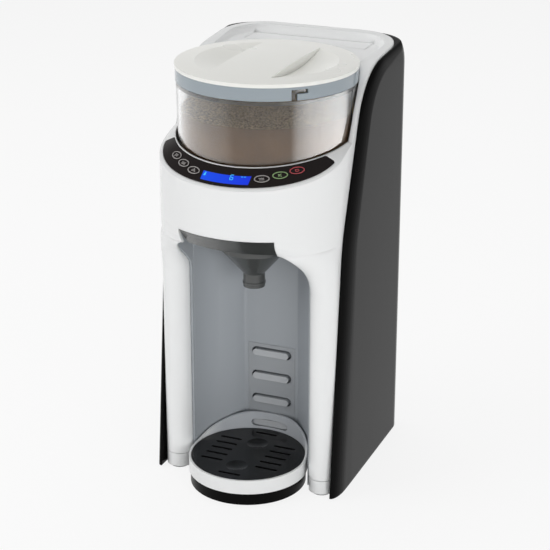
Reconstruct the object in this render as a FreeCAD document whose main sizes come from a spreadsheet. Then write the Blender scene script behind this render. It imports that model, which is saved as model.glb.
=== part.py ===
import FreeCAD, Part
import math
import os
import Sketcher

# Baby formula maker: a counter-top machine that doses milk powder and warm water into a bottle.
# Millimetres. +Z is up, the front faces -Y, and +X is the right-hand side seen from the front.
# The origin is at the floor, under the middle of the machine.

V = FreeCAD.Vector
X_AXIS = V(1, 0, 0)
Y_AXIS = V(0, 1, 0)
Z_AXIS = V(0, 0, 1)
ORIGIN = V(0, 0, 0)

doc = FreeCAD.newDocument("formula_maker")
sheet = doc.addObject("Spreadsheet::Sheet", "sizes")


# ---------------------------------------------------------------------------------------------
# Driving dimensions. Each one is a cell of the sheet, written once.
# ---------------------------------------------------------------------------------------------

DIMENSIONS = [
    # general fits
    ("gap", 0.3, "clearance between separate bodies"),
    ("fit", 0.05, "running fit of a shaft, measured on the radius"),
    ("shell_wall", 2.8, "wall of the white shell"),
    # plan of the machine
    ("head_half", 88.0, "half the width of the white shell"),
    ("head_depth", 74.0, "how far the round front stands out from its middle line"),
    ("head_mid", -47.0, "y of the middle line of the round front"),
    ("shell_back", 118.2, "y of the back of the white shell"),
    ("back_corner", 42.0, "radius of the shell's back corners in plan"),
    ("casing_corner", 27.0, "radius of the casings' back corners at their full width"),
    ("machine_back", 121.0, "y of the back of the machine"),
    ("casing_out", 7.8, "how far a casing stands out beside the white shell, at its widest"),
    ("casing_taper", 2.0, "how much narrower a casing is at its back corner"),
    ("casing_wall", 2.6, "wall of the black casings"),
    # levels of the white shell
    ("nose_low", 266.0, "height of the lower edge of the head"),
    ("bay_top", 250.0, "height of the bottle bay's top edge"),
    ("leg_top", 203.0, "height where a leg starts to widen into the head"),
    ("lip_low", 313.4, "height of the head's top at its very front"),
    ("lip_slope", 0.235, "rise of the head's top per unit of depth"),
    ("shoulder_y", -26.8, "y where the head's top turns up beside the container"),
    ("deck_rise_y", 1.0, "y of the corner where the shell's side meets the deck line"),
    ("deck_rise_z", 398.8, "height of that corner"),
    ("deck_rise_radius", 68.0, "radius of that corner"),
    ("deck_bend_y", 70.0, "y where the deck line flattens"),
    ("deck_bend_z", 404.1, "height of the deck line there"),
    ("deck_top", 407.6, "height of the deck line at the back"),
    ("deck_floor", 399.6, "height of the dished deck's floor"),
    ("deck_plate", 2.6, "thickness of the deck's floor"),
    ("deck_rim", 8.0, "width of the deck's raised rim"),
    ("deck_cove", 5.5, "how far the hollow foot of that rim spreads over the floor"),
    # legs
    ("leg_width", 26.0, "width of a leg"),
    ("leg_mid", -58.0, "y of the centre of a leg's round front"),
    ("leg_depth", 24.0, "how far a leg runs back from that centre"),
    ("cap_top", 16.0, "height of the seam over a foot cap"),
    ("foot_height", 2.0, "thickness of the rubber feet"),
    # curve where the white shell meets the black casings (seen from the side)
    ("seam_foot_y", -74.0, "y of the seam at the floor"),
    ("seam_knee_y", -49.0, "y of the seam's lower bend"),
    ("seam_knee_z", 250.0, "height of the seam's lower bend"),
    ("seam_top_y", 2.9, "y of the seam's upper corner"),
    ("seam_top_z", 397.0, "height of the seam's upper corner"),
    ("seam_knee_radius", 150.0, "radius of the lower bend"),
    ("seam_top_radius", 66.0, "radius of the upper corner"),
    ("seam_drop", 1.8, "how far the black edge lies under the deck line"),
    ("flare_skin", 4.0, "thickness of the flare over the bay's upper corners"),
    ("shoulder_radius", 12.0, "bend of the deck line at the shoulder"),
    ("deck_bend_radius", 60.0, "bend of the deck line at the top"),
    ("keypad_thick", 1.2, "thickness of the keypad mat"),
    ("foot_radius", 9.5, "radius of a rubber foot"),
    ("lug_half", 2.4, "half the width of a bayonet lug"),
    ("lid_turn", 7.0, "twist of the lid from set on to locked, in degrees"),
    ("flange", 16.0, "width of the shell's hidden flange behind the seam"),
    ("bevel_wide", 22.0, "width of the casing's rolled edge"),
    ("bevel_in", 6.6, "how far the rolled edge turns inwards"),
    # powder container and its well
    ("axis_y", -15.0, "y of the container's axis"),
    ("well_radius", 84.2, "radius of the well that takes the container"),
    ("well_wall", 2.2, "wall of the well"),
    ("seat_top", 292.2, "height of the seat under the container"),
    ("seat_thick", 4.2, "thickness of the seat"),
    ("container_radius", 83.4, "outer radius of the container under its collar"),
    ("container_wall", 2.4, "wall of the container"),
    ("container_taper", 1.6, "how much narrower the container is near its foot"),
    ("container_heel", 14.0, "height of the container's rounded heel"),
    ("heel_in", 8.0, "how far the heel turns inwards"),
    ("neck_low", 387.4, "height of the step under the container's neck"),
    ("neck_top", 398.0, "height of the container's open top"),
    ("neck_radius", 81.0, "outer radius of the container's neck"),
    ("base_thick", 4.0, "thickness of the container's base plate"),
    ("collar_radius", 84.0, "outer radius of the lid's clear collar"),
    ("collar_low", 388.0, "height of the collar's lower edge"),
    ("lid_radius", 84.5, "radius of the lid"),
    ("lid_low", 400.2, "height of the underside of the lid's rim"),
    ("lid_top", 403.6, "height of the lid's top at its edge"),
    ("recess_depth", 11.0, "depth of the lid's dished recesses under the top of its grip"),
    ("grip_half", 29.0, "half the width of the grip between the recesses"),
    # powder metering
    ("outlet_radius", 31.4, "distance from the axis to the powder outlet"),
    ("pocket_radius", 8.0, "radius of a metering pocket"),
    ("pocket_count", 10, "number of metering pockets"),
    ("wheel_radius", 66.0, "radius of the metering wheel"),
    ("wheel_thick", 6.0, "thickness of the metering wheel"),
    ("stirrer_reach", 62.0, "length of a stirrer arm from the axis"),
    ("stirrer_thick", 3.0, "height of a stirrer arm"),
    ("powder_low", 317.0, "height of the underside of the powder charge"),
    ("powder_high", 363.0, "height of the top of the powder charge"),
    ("gear_module", 1.0, "module of the drive gears"),
    ("gear_teeth", 40, "teeth of the drive gear"),
    ("pinion_teeth", 16, "teeth of the motor pinion"),
    ("gear_low", 277.0, "height of the underside of the gears"),
    ("gear_thick", 6.0, "thickness of the gears"),
    ("journal_radius", 4.0, "radius of the drive hub's journal"),
    ("hub_flats", 9.0, "width across the flats of the square drive"),
    # control fascia
    ("rim_radius", 84.0, "radius of the fascia cone at its top"),
    ("rim_height", 341.7, "height where the fascia cone's axis crosses its top plane"),
    ("rim_slope", 8.6, "tilt of the fascia cone, degrees"),
    ("cone_slope", 27.9, "slope of the fascia cone in its own frame, degrees"),
    ("panel_margin", 3.4, "how far the fascia's outer edge lies inside the shell's outline"),
    ("panel_inner", 85.4, "radius of the fascia's inner edge in plan"),
    ("panel_tip_y", -57.0, "y where the fascia's tips are cut off"),
    ("panel_tip_radius", 2.0, "radius of the corners of those tips"),
    ("ledge_thick", 2.0, "thickness of the ledge under the fascia"),
    ("panel_thick", 2.2, "thickness of the fascia"),
    ("window_half", 23.0, "half the width of the display window"),
    ("window_in", 7.0, "distance of the window's upper edge from the fascia's inner edge"),
    ("window_deep", 7.4, "height of the window across the fascia"),
    ("button_in", 11.6, "distance of the button nearest the display from the fascia's inner edge"),
    ("button_draw", 2.3, "how much nearer that edge each further button lies"),
    ("button_first", 19.8, "angle of the button nearest the display, degrees"),
    ("button_step", 9.7, "angle between buttons, degrees"),
    ("button_long", 14.0, "length of a button"),
    ("button_short", 8.0, "height of a button"),
    ("button_thick", 3.4, "thickness of a button"),
    ("button_proud", 0.5, "how far a button stands out of the fascia"),
    # funnel and its drawer
    ("drawer_half", 46.4, "half the width of the funnel drawer"),
    ("drawer_low", 249.2, "height of the drawer's underside"),
    ("drawer_back", -6.0, "y of the drawer's back"),
    ("drawer_slant", 15.0, "how far the drawer's front slants back towards its foot"),
    ("drawer_draw", 2.0, "how much narrower the drawer's front is at its foot, on each side"),
    ("drawer_wall", 2.2, "wall of the drawer"),
    ("funnel_y", -46.4, "y of the funnel's axis"),
    ("funnel_rim", 34.6, "radius of the funnel's rim"),
    ("funnel_top", 31.5, "radius of the funnel's bowl under its rim"),
    ("funnel_cone_z", 233.5, "height where the funnel's bowl turns into its cone"),
    ("funnel_neck_z", 209.0, "height where the funnel's cone ends"),
    ("nozzle_radius", 10.3, "radius of the funnel's nozzle"),
    ("nozzle_low", 195.6, "height of the nozzle's mouth"),
    ("nozzle_bead", 0.6, "how far the bead near the nozzle's mouth stands out"),
    ("funnel_wall", 1.8, "wall of the funnel"),
    # bottle bay
    ("bay_back", -2.0, "y of the back face of the bay's liner"),
    ("bay_back_half", 29.6, "half the width of the bay's back wall"),
    ("bay_bow_half", 58.0, "half the width of the bay where its sides bow out"),
    ("bay_bow_y", -36.0, "y of that bow"),
    ("bay_corner", 4.0, "radius of the bay's back corners"),
    ("liner_wall", 2.4, "wall of the liner"),
    ("rail_half", 24.5, "half the width of the tray rail"),
    ("rail_top", 117.0, "height of the tray rail's top"),
    ("bar_half", 18.6, "half the length of a tray bar"),
    ("bar_height", 6.6, "height of a tray bar"),
    ("bar_first", 33.3, "height of the lowest bar's centre"),
    ("bar_pitch", 25.1, "spacing of the bars"),
    ("bar_count", 4, "number of bars"),
    ("bar_reach", 3.2, "how far a bar stands out of the rail"),
    # tray
    ("tray_y", -62.8, "y of the tray's centre"),
    ("tray_radius", 57.2, "outer radius of the tray ring"),
    ("tray_low", 13.0, "height of the tray ring's lower edge"),
    ("tray_top", 27.0, "height of the tray's rim"),
    ("tray_wall", 2.0, "wall of the tray ring"),
    ("upstand_top", 44.8, "height of the tray's back wall"),
    ("upstand_run", 46.0, "length along Y over which the tray's back wall rises"),
    ("pan_low", 1.0, "height of the drip pan's underside"),
    ("pan_wall", 1.8, "wall of the drip pan"),
    ("grille_thick", 3.0, "thickness of the grille"),
    ("slot_length", 22.5, "length of a grille slot"),
    ("slot_width", 3.2, "width of a grille slot"),
    ("slot_x", 28.2, "x of the centre of a row of slots"),
    ("slot_pitch", 11.6, "spacing of the slots"),
    ("slot_rows", 5, "slots in each row"),
    ("finger_pitch", 50.0, "spacing of the two finger dimples"),
    # water side
    ("chassis_y", 72.0, "y of the front face of the chassis wall"),
    ("chassis_wall", 2.6, "wall of the chassis"),
    ("tank_half", 68.0, "half the width of the water tank"),
    ("tank_back", 120.6, "y of the tank's back"),
    ("tank_low", 44.5, "height of the tank's underside"),
    ("tank_top", 388.0, "height of the tank's open top"),
    ("tank_wall", 2.4, "wall of the tank"),
    ("cover_half", 62.0, "half the width of the tank cover"),
    ("cover_front", 76.0, "y of the tank cover's front edge"),
    ("cover_back", 103.0, "y of the tank cover's back edge"),
    ("cover_thick", 2.4, "thickness of the tank cover"),
    ("pin_radius", 1.5, "radius of the cover's hinge pins"),
    ("dock_x", 40.0, "x of the tank's outlet"),
    ("dock_z", 60.0, "height of the tank's outlet"),
    ("spigot_radius", 4.6, "radius of the tank's outlet spigot"),
    ("heater_x", -36.0, "x of the heater"),
    ("heater_radius", 23.0, "radius of the heater"),
    ("heater_low", 108.0, "height of the heater's foot"),
    ("heater_height", 96.0, "height of the heater"),
    ("pump_z", 132.0, "height of the pump's axis"),
    ("pump_radius", 20.0, "radius of the pump"),
    ("tube_radius", 3.0, "outer radius of the water tubes"),
    ("tube_wall", 1.0, "wall of the water tubes"),
    ("tube_bend", 7.5, "bend radius of the water tubes"),
    ("heater_y", 48.7, "y of the heater's axis and of the water tubes"),
    ("chute_radius", 10.0, "outer radius of the powder chute"),
    ("nozzle_x", -22.0, "x of the water nozzle"),
    ("nozzle_tube", 4.0, "outer radius of the water nozzle"),
    ("screw_shank", 1.5, "radius of a screw's shank"),
    ("screw_head", 2.8, "radius of a screw's head"),
    ("board_thick", 1.6, "thickness of a circuit board"),
    ("board_stand", 4.0, "height of a circuit board's standoffs"),
    ("bracket_low", 269.3, "height of the motor bracket's underside"),
    ("bracket_thick", 3.0, "thickness of the motor bracket"),
    ("post_x", 26.0, "x of the motor bracket's posts"),
    ("post_front", -26.0, "y of the front posts"),
    ("post_back", 36.0, "y of the back posts"),
    ("post_radius", 3.5, "radius of the posts"),
    ("grip_top", 407.0, "height of the middle of the domed lid"),
    ("lid_skin", 2.0, "thickness of the lid"),
    ("recess_radius", 66.0, "radius of the lid's finger recesses"),
    ("lug_angle", 39.6, "angle of the first bayonet lug from the front"),
    ("lug_high", 2.6, "height of a bayonet lug"),
    ("drawer_side", 40.0, "half the width of the drawer behind its front"),
    ("hinge_barrel", 2.7, "radius of the tank cover's rolled back edge"),
    ("lug_width", 5.0, "width of the cover's hinge lugs"),
    ("runner_foot", 2.6, "thickness of a runner's foot"),
    ("bush_wall", 2.4, "wall of the drive bush"),
    ("shaft_radius", 2.5, "radius of the motor's shaft"),
    ("rail_depth", 10.4, "depth of the tray's rail"),
    ("end_slot_y", 44.8, "how far the grille's single slots lie from its middle"),
    ("dimple_ball", 31.0, "radius of the ball that dents the grille's finger marks"),
    ("runner_low", 256.0, "height of the underside of the drawer's runners"),
    ("motor_radius", 13.6, "radius of the gear motor"),
    ("motor_height", 36.0, "height of the gear motor"),
    ("base_thick_plate", 2.6, "thickness of the base plate"),
]


# ---------------------------------------------------------------------------------------------
# The sheet, and sizes that know both their value and the expression that gives it
# ---------------------------------------------------------------------------------------------

class Size:
    """A size read from the sheet. Sums of sizes keep their expression, to bind features to them."""

    def __init__(self, value, text):
        self.value = value
        self.text = text

    def __float__(self):
        return self.value

    def __neg__(self):
        return Size(-self.value, "(-%s)" % self.text)

    def __add__(self, other):
        other = size_of(other)
        return Size(self.value + other.value, "(%s + %s)" % (self.text, other.text))

    def __radd__(self, other):
        return size_of(other) + self

    def __sub__(self, other):
        other = size_of(other)
        return Size(self.value - other.value, "(%s - %s)" % (self.text, other.text))

    def __rsub__(self, other):
        return size_of(other) - self

    def __mul__(self, other):
        other = size_of(other)
        return Size(self.value * other.value, "(%s * %s)" % (self.text, other.text))

    def __rmul__(self, other):
        return size_of(other) * self

    def __truediv__(self, other):
        other = size_of(other)
        return Size(self.value / other.value, "(%s / %s)" % (self.text, other.text))


def size_of(number):
    if isinstance(number, Size):
        return number
    return Size(float(number), "%.6f" % number)


def fill_sheet():
    for row, (alias, value, meaning) in enumerate(DIMENSIONS, 1):
        sheet.set("A%d" % row, meaning)
        sheet.set("B%d" % row, str(value))
        sheet.setAlias("B%d" % row, alias)
    doc.recompute()


class Sizes:
    """The sheet's cells by name."""


fill_sheet()
s = Sizes()
for alias, _, _ in DIMENSIONS:
    setattr(s, alias, Size(float(sheet.get(alias)), "sizes." + alias))


# ---------------------------------------------------------------------------------------------
# Builders
# ---------------------------------------------------------------------------------------------

NODES = []


def node(obj, name):
    """Names a finished sub-part; its label is the name of its file."""
    obj.Label = name
    NODES.append(obj)
    return obj


def bind(obj, name, size):
    size = size_of(size)
    obj.setExpression(name, size.text)


def place(obj, x, y, z, rotation=None):
    obj.Placement = FreeCAD.Placement(V(float(x), float(y), float(z)), rotation or FreeCAD.Rotation())
    bind(obj, "Placement.Base.x", x)
    bind(obj, "Placement.Base.y", y)
    bind(obj, "Placement.Base.z", z)
    return obj


ALONG = {
    "z": FreeCAD.Rotation(),
    "x": FreeCAD.Rotation(Y_AXIS, 90),
    "y": FreeCAD.Rotation(X_AXIS, -90),
    "-y": FreeCAD.Rotation(X_AXIS, 90),
}


def block(name, x, y, z):
    """A box from x[0] to x[1], y[0] to y[1] and z[0] to z[1]."""
    box = doc.addObject("Part::Box", name)
    bind(box, "Length", size_of(x[1]) - x[0])
    bind(box, "Width", size_of(y[1]) - y[0])
    bind(box, "Height", size_of(z[1]) - z[0])
    return place(box, x[0], y[0], z[0])


def rod(name, radius, length, x, y, z, along="z"):
    """A cylinder that starts at (x, y, z) and runs along an axis."""
    cylinder = doc.addObject("Part::Cylinder", name)
    bind(cylinder, "Radius", radius)
    bind(cylinder, "Height", length)
    return place(cylinder, x, y, z, ALONG[along])


def fuse(name, *parts):
    joined = doc.addObject("Part::MultiFuse", name)
    joined.Shapes = list(parts)
    joined.Refine = True
    return joined


def cut(name, base, *tools):
    """The base without its tools."""
    result = doc.addObject("Part::Cut", name)
    result.Base = base
    result.Tool = tools[0] if len(tools) == 1 else fuse(name + "_tools", *tools)
    result.Refine = True
    return result


def compound(name, *parts):
    group = doc.addObject("Part::Compound", name)
    group.Links = list(parts)
    return group


def shape_node(name, shape):
    """A sub-part whose form is drawn with Part's own functions."""
    feature = doc.addObject("Part::Feature", name)
    feature.Shape = shape
    return node(feature, name)


def plane_of(body, role):
    for feature in body.Origin.OriginFeatures:
        if feature.Role == role:
            return feature
    raise ValueError(role)


def polygon(body, name, role, points):
    """A closed sketch of straight lines with every corner bound to the sheet."""
    sketch = body.newObject("Sketcher::SketchObject", name)
    sketch.AttachmentSupport = [(plane_of(body, role), "")]
    sketch.MapMode = "FlatFace"
    count = len(points)
    for index in range(count):
        start = points[index]
        end = points[(index + 1) % count]
        sketch.addGeometry(Part.LineSegment(V(float(start[0]), float(start[1]), 0),
                                            V(float(end[0]), float(end[1]), 0)), False)
    for index in range(count):
        sketch.addConstraint(Sketcher.Constraint("Coincident", index, 2, (index + 1) % count, 1))
    for index, point in enumerate(points):
        for kind, size in (("DistanceX", size_of(point[0])), ("DistanceY", size_of(point[1]))):
            number = sketch.addConstraint(Sketcher.Constraint(kind, -1, 1, index, 1, size.value))
            sketch.setExpression("Constraints[%d]" % number, size.text)
    return sketch


def turned(name, points, x, y):
    """A body turned about the vertical line at (x, y); points are (radius, height)."""
    body = doc.addObject("PartDesign::Body", name + "_body")
    sketch = polygon(body, name + "_profile", "XZ_Plane", points)
    turn = body.newObject("PartDesign::Revolution", name + "_turn")
    turn.Profile = sketch
    turn.ReferenceAxis = (sketch, ["V_Axis"])
    turn.Angle = 360
    place(body, x, y, 0)
    return body


def circle_sketch(body, name, radius, x, y, height):
    """A circle in a plane parallel to the body's XY plane."""
    sketch = body.newObject("Sketcher::SketchObject", name)
    sketch.AttachmentSupport = [(plane_of(body, "XY_Plane"), "")]
    sketch.MapMode = "FlatFace"
    bind(sketch, "AttachmentOffset.Base.z", height)
    sketch.addGeometry(Part.Circle(V(float(x), float(y), 0), Z_AXIS, float(radius)), False)
    for constraint, size in ((("Radius", 0), radius), (("DistanceX", -1, 1, 0, 3), x),
                             (("DistanceY", -1, 1, 0, 3), y)):
        size = size_of(size)
        number = sketch.addConstraint(Sketcher.Constraint(*constraint, size.value))
        sketch.setExpression("Constraints[%d]" % number, size.text)
    return sketch


def ring_of_pockets(body, name, sketch, count):
    """Cuts a sketch right through the body and repeats it round the body's axis."""
    doc.recompute()
    before = body.Shape.Volume
    pocket = body.newObject("PartDesign::Pocket", name)
    pocket.Profile = sketch
    pocket.Type = "ThroughAll"
    pocket.Midplane = True
    doc.recompute()
    if body.Shape.Volume >= before:
        raise ValueError(name + " cuts nothing")
    pattern = body.newObject("PartDesign::PolarPattern", name + "_pattern")
    pattern.Originals = [pocket]
    pattern.Axis = (sketch, ["N_Axis"])
    pattern.Angle = 360
    bind(pattern, "Occurrences", count)
    body.Tip = pattern
    return pattern


def rounded_wire(corners, closed=True):
    """A wire of straight runs; each corner is (point, radius), and its arc is tangent to both runs."""
    count = len(corners)
    edges = []
    last = None
    first = None
    for index, (point, radius) in enumerate(corners):
        ends = not closed and index in (0, count - 1)
        if radius <= 0 or ends:
            arrive, leave, arc = point, point, None
        else:
            back = corners[index - 1][0] - point
            ahead = corners[(index + 1) % count][0] - point
            half = back.getAngle(ahead) / 2
            back.normalize()
            ahead.normalize()
            middle = back + ahead
            middle.normalize()
            arrive = point + back * (radius / math.tan(half))
            leave = point + ahead * (radius / math.tan(half))
            summit = point + middle * (radius / math.sin(half) - radius)
            arc = Part.Arc(arrive, summit, leave).toShape()
        if last is not None and (arrive - last).Length > 1e-6:
            edges.append(Part.LineSegment(last, arrive).toShape())
        if arc is not None:
            edges.append(arc)
        first = first or arrive
        last = leave
    if closed and (first - last).Length > 1e-6:
        edges.append(Part.LineSegment(last, first).toShape())
    return Part.Wire(edges)


def side_prism(corners, half_width):
    """A solid with its outline drawn in the YZ plane; corners are (y, z, radius)."""
    wire = rounded_wire([(V(-half_width, y, z), radius) for y, z, radius in corners])
    return Part.Face(wire).extrude(X_AXIS * (2 * half_width))


def plan_prism(wire, height):
    return Part.Face(wire).extrude(Z_AXIS * height)


def upright(radius, low, high, x, y):
    return Part.makeCylinder(radius, high - low, V(x, y, low), Z_AXIS)


# ---------------------------------------------------------------------------------------------
# Shared curves of the housing
# ---------------------------------------------------------------------------------------------

FAR = 200.0
INSIDE = 0.02  # a face this far inside another is clear of it when the two are joined
head_half = float(s.head_half)
head_depth = float(s.head_depth)
head_mid = float(s.head_mid)
shell_wall = float(s.shell_wall)
gap = float(s.gap)
axis_y = float(s.axis_y)
nose_low = float(s.nose_low)
well_radius = float(s.well_radius)
head_front = head_mid - head_depth
leg_inner = head_half - float(s.leg_width)
leg_back = float(s.leg_mid) + float(s.leg_depth)
machine_half = head_half + float(s.casing_out)
ledge_low = nose_low + 20.0
HIGH = 460.0  # above the whole machine


def plan_wire(inset, height):
    """The white shell's outline in plan: a half ellipse in front, two sides and two round back corners."""
    half = head_half - inset
    back = float(s.shell_back) - inset
    corner = float(s.back_corner) - inset
    turn = corner * (1 - math.sqrt(0.5))
    front = Part.Ellipse(V(0, head_mid, height), half, head_depth - inset)
    return Part.Wire([
        Part.Arc(front, math.pi, 2 * math.pi).toShape(),
        Part.LineSegment(V(half, head_mid, height), V(half, back - corner, height)).toShape(),
        Part.Arc(V(half, back - corner, height), V(half - turn, back - turn, height),
                 V(half - corner, back, height)).toShape(),
        Part.LineSegment(V(half - corner, back, height), V(corner - half, back, height)).toShape(),
        Part.Arc(V(corner - half, back, height), V(turn - half, back - turn, height),
                 V(-half, back - corner, height)).toShape(),
        Part.LineSegment(V(-half, back - corner, height), V(-half, head_mid, height)).toShape(),
    ])


def lip_height(y):
    return float(s.lip_low) + float(s.lip_slope) * (y - head_front)


def deck_line(drop=0.0):
    """The top of the white shell seen from the side, as (y, z, corner radius) from front to back."""
    bend_y, bend_z = float(s.deck_bend_y), float(s.deck_bend_z)
    slope = (float(s.deck_top) - bend_z) / (float(s.shell_back) - bend_y)
    return [
        (-FAR, lip_height(-FAR) - drop, 0),
        (float(s.shoulder_y), lip_height(float(s.shoulder_y)) - drop, float(s.shoulder_radius)),
        (float(s.deck_rise_y) + drop, float(s.deck_rise_z) - drop, float(s.deck_rise_radius)),
        (bend_y, bend_z - drop, float(s.deck_bend_radius)),
        (FAR, bend_z + slope * (FAR - bend_y) - drop, 0),
    ]


def seam_line(inset=0.0):
    """The seam between white shell and black casing seen from the side, moved back by inset."""
    deck = deck_line(float(s.seam_drop))
    points = [
        V(0, float(s.seam_foot_y), 0),
        V(0, float(s.seam_knee_y), float(s.seam_knee_z)),
        V(0, float(s.seam_top_y), float(s.seam_top_z)),
        V(0, deck[3][0], deck[3][1]),
        V(0, deck[4][0], deck[4][1]),
    ]
    radii = [0, float(s.seam_knee_radius), float(s.seam_top_radius), float(s.deck_bend_radius), 0]
    normals = []
    for start, end in zip(points, points[1:]):
        run = end - start
        normals.append(V(0, run.z, -run.y).normalize())
    corners = []
    for index, point in enumerate(points):
        before = normals[max(index - 1, 0)]
        after = normals[min(index, len(normals) - 1)]
        shift = (before + after) * (inset / (1 + before.dot(after)))
        radius = max(radii[index] - inset, 1.0) if radii[index] else 0
        corners.append((point.y + shift.y, point.z + shift.z, radius))
    return corners


def behind_seam(inset, half_width=FAR):
    """Everything behind and below the seam moved back by inset."""
    seam = seam_line(inset)
    foot = (seam[0][0], -FAR, 0)
    return side_prism([foot] + seam + [(FAR, -FAR, 0)], half_width)


def under_deck(drop=0.0, half_width=FAR):
    """Everything below the deck line."""
    return side_prism(deck_line(drop) + [(FAR, -FAR, 0), (-FAR, -FAR, 0)], half_width)


# ---------------------------------------------------------------------------------------------
# White shell
# ---------------------------------------------------------------------------------------------

def fascia_cone(depth=0.0):
    """The tilted cone that carries the controls, moved inwards by depth."""
    slope = math.radians(float(s.cone_slope))
    radius = float(s.rim_radius)
    low = 80.0
    cone = Part.makeCone(radius + low / math.tan(slope), radius, low, V(0, 0, -low), Z_AXIS)
    cone.translate(V(0, 0, -depth / math.cos(slope)))
    cone.rotate(ORIGIN, X_AXIS, float(s.rim_slope))
    cone.translate(V(0, axis_y, float(s.rim_height)))
    return cone


def head_room(inset, back):
    """The room inside the shell's outline, in front of y = back and above the ledge's foot."""
    room = plan_prism(plan_wire(inset, ledge_low), HIGH - ledge_low)
    return room.common(Part.makeBox(2 * FAR, FAR, HIGH - ledge_low, V(-FAR, back - FAR, ledge_low)))


def crescent(inset):
    """The control panel's outline in plan, as an upright prism with rounded tips."""
    tip = float(s.panel_tip_y) - inset
    outer = head_room(float(s.panel_margin) + inset, tip)
    outline = outer.cut(upright(float(s.panel_inner) + inset, 0, HIGH + 1, 0, axis_y))
    corners = [edge for edge in outline.Edges
               if abs(edge.CenterOfMass.y - tip) < INSIDE and abs(edge.Length - (HIGH - ledge_low)) < INSIDE]
    return outline.makeFillet(float(s.panel_tip_radius) - inset / 2, corners)


def leg_front(height):
    """Points along the front of the shell at one height, from the bay's edge out to the +X side.

    Below leg_top they follow a round-fronted leg; at nose_low they follow the head's own outline."""
    outer = head_half - INSIDE
    leg_half = float(s.leg_width) / 2
    middle = V(outer - leg_half, float(s.leg_mid), 0)
    start_angle = math.asin((float(s.drawer_half) + gap) / head_half)
    rise = (height - float(s.leg_top)) / (nose_low - float(s.leg_top))
    rise = min(max(rise, 0.0), 1.0)
    forward = rise * rise * (3 - 2 * rise)
    corner_low = float(s.leg_top) + 0.4 * (float(s.bay_top) - float(s.leg_top))
    turn = (height - corner_low) / (float(s.bay_top) - corner_low)
    turn = min(max(turn, 0.0), 1.0)
    inward = 1 - math.sqrt(1 - turn * turn)
    points = []
    steps = 12
    for step in range(steps + 1):
        part = step / steps
        angle = math.radians(180 + 180 * min(part / 0.8, 1.0))
        leg = middle + V(math.cos(angle), math.sin(angle), 0) * leg_half
        if part > 0.8:
            leg = V(outer, float(s.leg_mid) + (head_mid - float(s.leg_mid)) * (part - 0.8) / 0.2, 0)
        angle = start_angle + (math.pi / 2 - start_angle) * part
        head = V(outer * math.sin(angle), head_mid - (head_depth - INSIDE) * math.cos(angle), 0)
        points.append(V(leg.x + inward * (head.x - leg.x), leg.y + forward * (head.y - leg.y), height))
    return points


def front_at(height, x):
    """The y of the shell's front at one height, x to the side of the middle."""
    points = leg_front(height)
    for near, far in zip(points, points[1:]):
        if near.x <= x <= far.x:
            return near.y + (far.y - near.y) * (x - near.x) / (far.x - near.x)
    return points[0].y


def leg_section(height):
    """Half of the front of the shell at one height, as a closed wire on the +X side."""
    points = leg_front(height)
    front = Part.BSplineCurve()
    front.interpolate(points)
    first, last = points[0], points[-1]
    inner_back = V(first.x, leg_back, height)
    outer_back = V(last.x, leg_back, height)
    return Part.Wire([
        Part.LineSegment(inner_back, first).toShape(),
        front.toShape(),
        Part.LineSegment(last, outer_back).toShape(),
        Part.LineSegment(outer_back, inner_back).toShape(),
    ])


def flare_heights():
    """Heights of the flare's sections, closer together where its inner edge turns."""
    low, rise = float(s.leg_top), float(s.bay_top) - float(s.leg_top)
    heights = [low + rise * math.sin(math.pi / 2 * step / 12) for step in range(13)]
    left = nose_low - float(s.bay_top)
    return heights + [float(s.bay_top) + left * step / 4 for step in range(1, 5)]


def leg_column(low, high):
    return Part.Face(leg_section(low)).extrude(Z_AXIS * (high - low))


def both_sides(shape):
    return [shape, shape.mirror(ORIGIN, X_AXIS)]


def make_leg():
    """A leg with the flare that joins it to the head; over the bay's corner the flare is only a skin."""
    flare = Part.makeLoft([leg_section(height) for height in flare_heights()], True, True)
    behind = flare.copy()
    behind.translate(V(0, float(s.flare_skin), 0))
    over_bay = Part.makeBox(leg_inner, 2 * FAR, FAR, V(0, -FAR, float(s.leg_top)))
    flare = flare.cut(behind.common(over_bay))
    column = leg_column(float(s.cap_top), float(s.leg_top))
    inner = leg_inner + shell_wall
    core = Part.makeBox(head_half - shell_wall - inner, FAR, float(s.leg_top) - float(s.cap_top) + 40,
                        V(inner, float(s.leg_mid) + 2, float(s.cap_top) - 1))
    side = float(s.drawer_half) + gap
    roof = plan_prism(plan_wire(0, nose_low), shell_wall)
    roof = roof.common(Part.makeBox(FAR, FAR, 9, V(side, leg_back - FAR, nose_low)))
    return column.fuse(flare).cut(core).fuse(roof).cut(behind_seam(float(s.flange)))


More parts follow.
